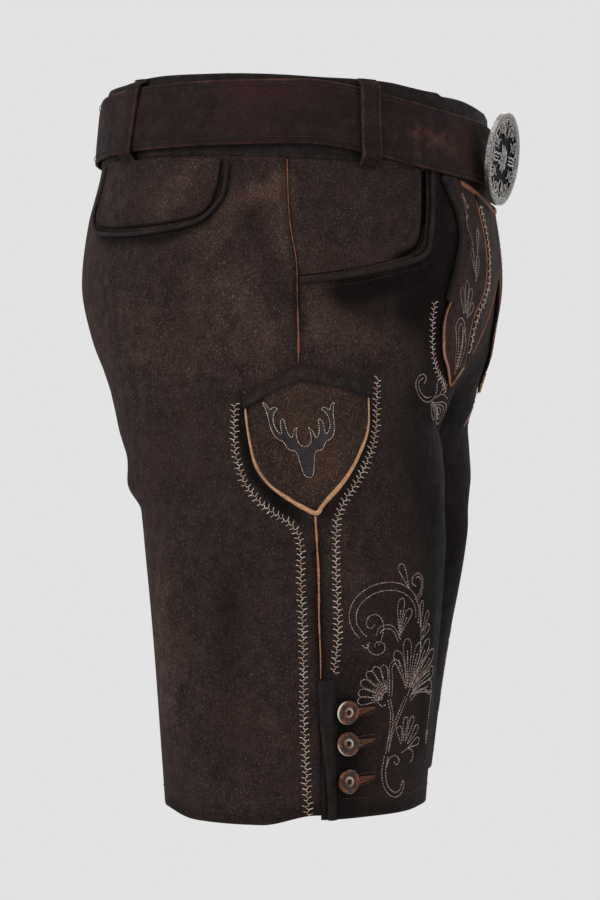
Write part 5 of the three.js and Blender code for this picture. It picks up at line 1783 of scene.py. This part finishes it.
def joinBuckle():
    selectNone()
    for piece in bucklePieces:
        piece.select_set(True)
    whole = bucklePieces[0]
    bpy.context.view_layer.objects.active = whole
    bpy.ops.object.join()
    whole.name = "buckle_oval"
    whole.data.name = "buckle_oval"
    points = np.array([v.co for v in whole.data.vertices])
    rim = np.hypot(points[:, 0] / buckle["half"], points[:, 1] / buckle["rise"])
    hollow = smooth(2.15, 1.35, points[:, 2]) * smooth(0.99, 0.93, rim)
    hollow = np.maximum(hollow, smooth(2.4, 1.9, points[:, 2]) * smooth(0.84, 0.88, rim)
                        * smooth(0.985, 0.96, rim))
    layer = whole.data.attributes.new("hollow", "FLOAT", "POINT")
    layer.data.foreach_set("value", hollow.astype(np.float32))
    whole.data.materials.clear()
    whole.data.materials.append(silverSkin)
    selectNone()
    active(whole)
    bpy.ops.object.shade_smooth_by_angle(angle=math.radians(50))
    placeBuckle(whole)
    return finishPiece(whole, "silver", "buckle_plate")


def buckleBar():
    selectNone()
    bpy.ops.mesh.primitive_cube_add(size=1, location=(0, 0, -2.8))
    bar = bpy.context.object
    bpy.ops.object.mode_set(mode="EDIT")
    bpy.ops.transform.resize(value=(30, 40, 5))
    bpy.ops.mesh.bevel(offset=1.2, segments=3, affect="EDGES")
    bpy.ops.object.mode_set(mode="OBJECT")
    bpy.ops.object.transform_apply(location=True, rotation=True, scale=True)
    bar.name = "buckle_back_bar"
    bar.data.materials.append(silverSkin)
    bpy.ops.object.shade_smooth_by_angle(angle=math.radians(40))
    placeBuckle(bar)
    return finishPiece(bar, "silver", "buckle_bar")


flatPlate()
ropeRim()
scrollWork()
edelweiss()
joinBuckle()
buckleBar()
print("buckle made")


# studio: pale floor, soft lights and the camera

studio = {"pale": srgb(227, 227, 227), "floorDrop": 0.06, "floorSize": 14.0, "viewTurn": 10.0,
          "distance": 2.0, "level": -0.237, "lens": 104.4}


def makeStudio():
    world = bpy.data.worlds.new("studio")
    bpy.context.scene.world = world
    world.use_nodes = True
    world.node_tree.nodes["Background"].inputs["Color"].default_value = studio["pale"]
    world.node_tree.nodes["Background"].inputs["Strength"].default_value = 1.0
    bpy.context.scene.view_settings.view_transform = "Standard"

    f = Finish("pale_floor")
    glow = f.node("ShaderNodeEmission", None, {"Color": studio["pale"], "Strength": 1.0})
    f.node("ShaderNodeOutputMaterial", None, {"Surface": glow})
    selectNone()
    bpy.ops.mesh.primitive_plane_add(size=studio["floorSize"], location=(0, 0, 0))
    floor = bpy.context.object
    floor.name = "floor"
    floor.data.transform(Matrix.Translation((0, 0, cadBox[0][2] - studio["floorDrop"])))
    floor.data.materials.append(f.material)

    for name, place, size, power in (("key", (-1.5, 1.5, 0.9), 0.9, 17), ("front", (-1.2, -2.0, 0.7), 0.8, 4),
                                     ("top", (0.0, 0.3, 1.8), 1.2, 5), ("far", (1.8, -0.2, 0.5), 1.2, 7)):
        light = bpy.data.lights.new(name, "AREA")
        light.energy = power
        light.size = size
        lamp = bpy.data.objects.new(name, light)
        lamp.location = place
        aim = Vector((0, 0, -0.22)) - Vector(place)
        lamp.rotation_euler = aim.to_track_quat("-Z", "Y").to_euler()
        bpy.context.scene.collection.objects.link(lamp)

    turn = math.radians(studio["viewTurn"])
    camera = bpy.data.objects.new("camera", bpy.data.cameras.new("camera"))
    camera.location = (-math.cos(turn) * studio["distance"], -math.sin(turn) * studio["distance"],
                       studio["level"])
    camera.rotation_euler = Vector((math.cos(turn), math.sin(turn), 0)).to_track_quat("-Z", "Y").to_euler()
    camera.data.lens = studio["lens"]
    camera.data.sensor_width = 36
    camera.data.clip_end = 60
    bpy.context.scene.collection.objects.link(camera)
    bpy.context.scene.camera = camera


makeStudio()
print("studio ready")
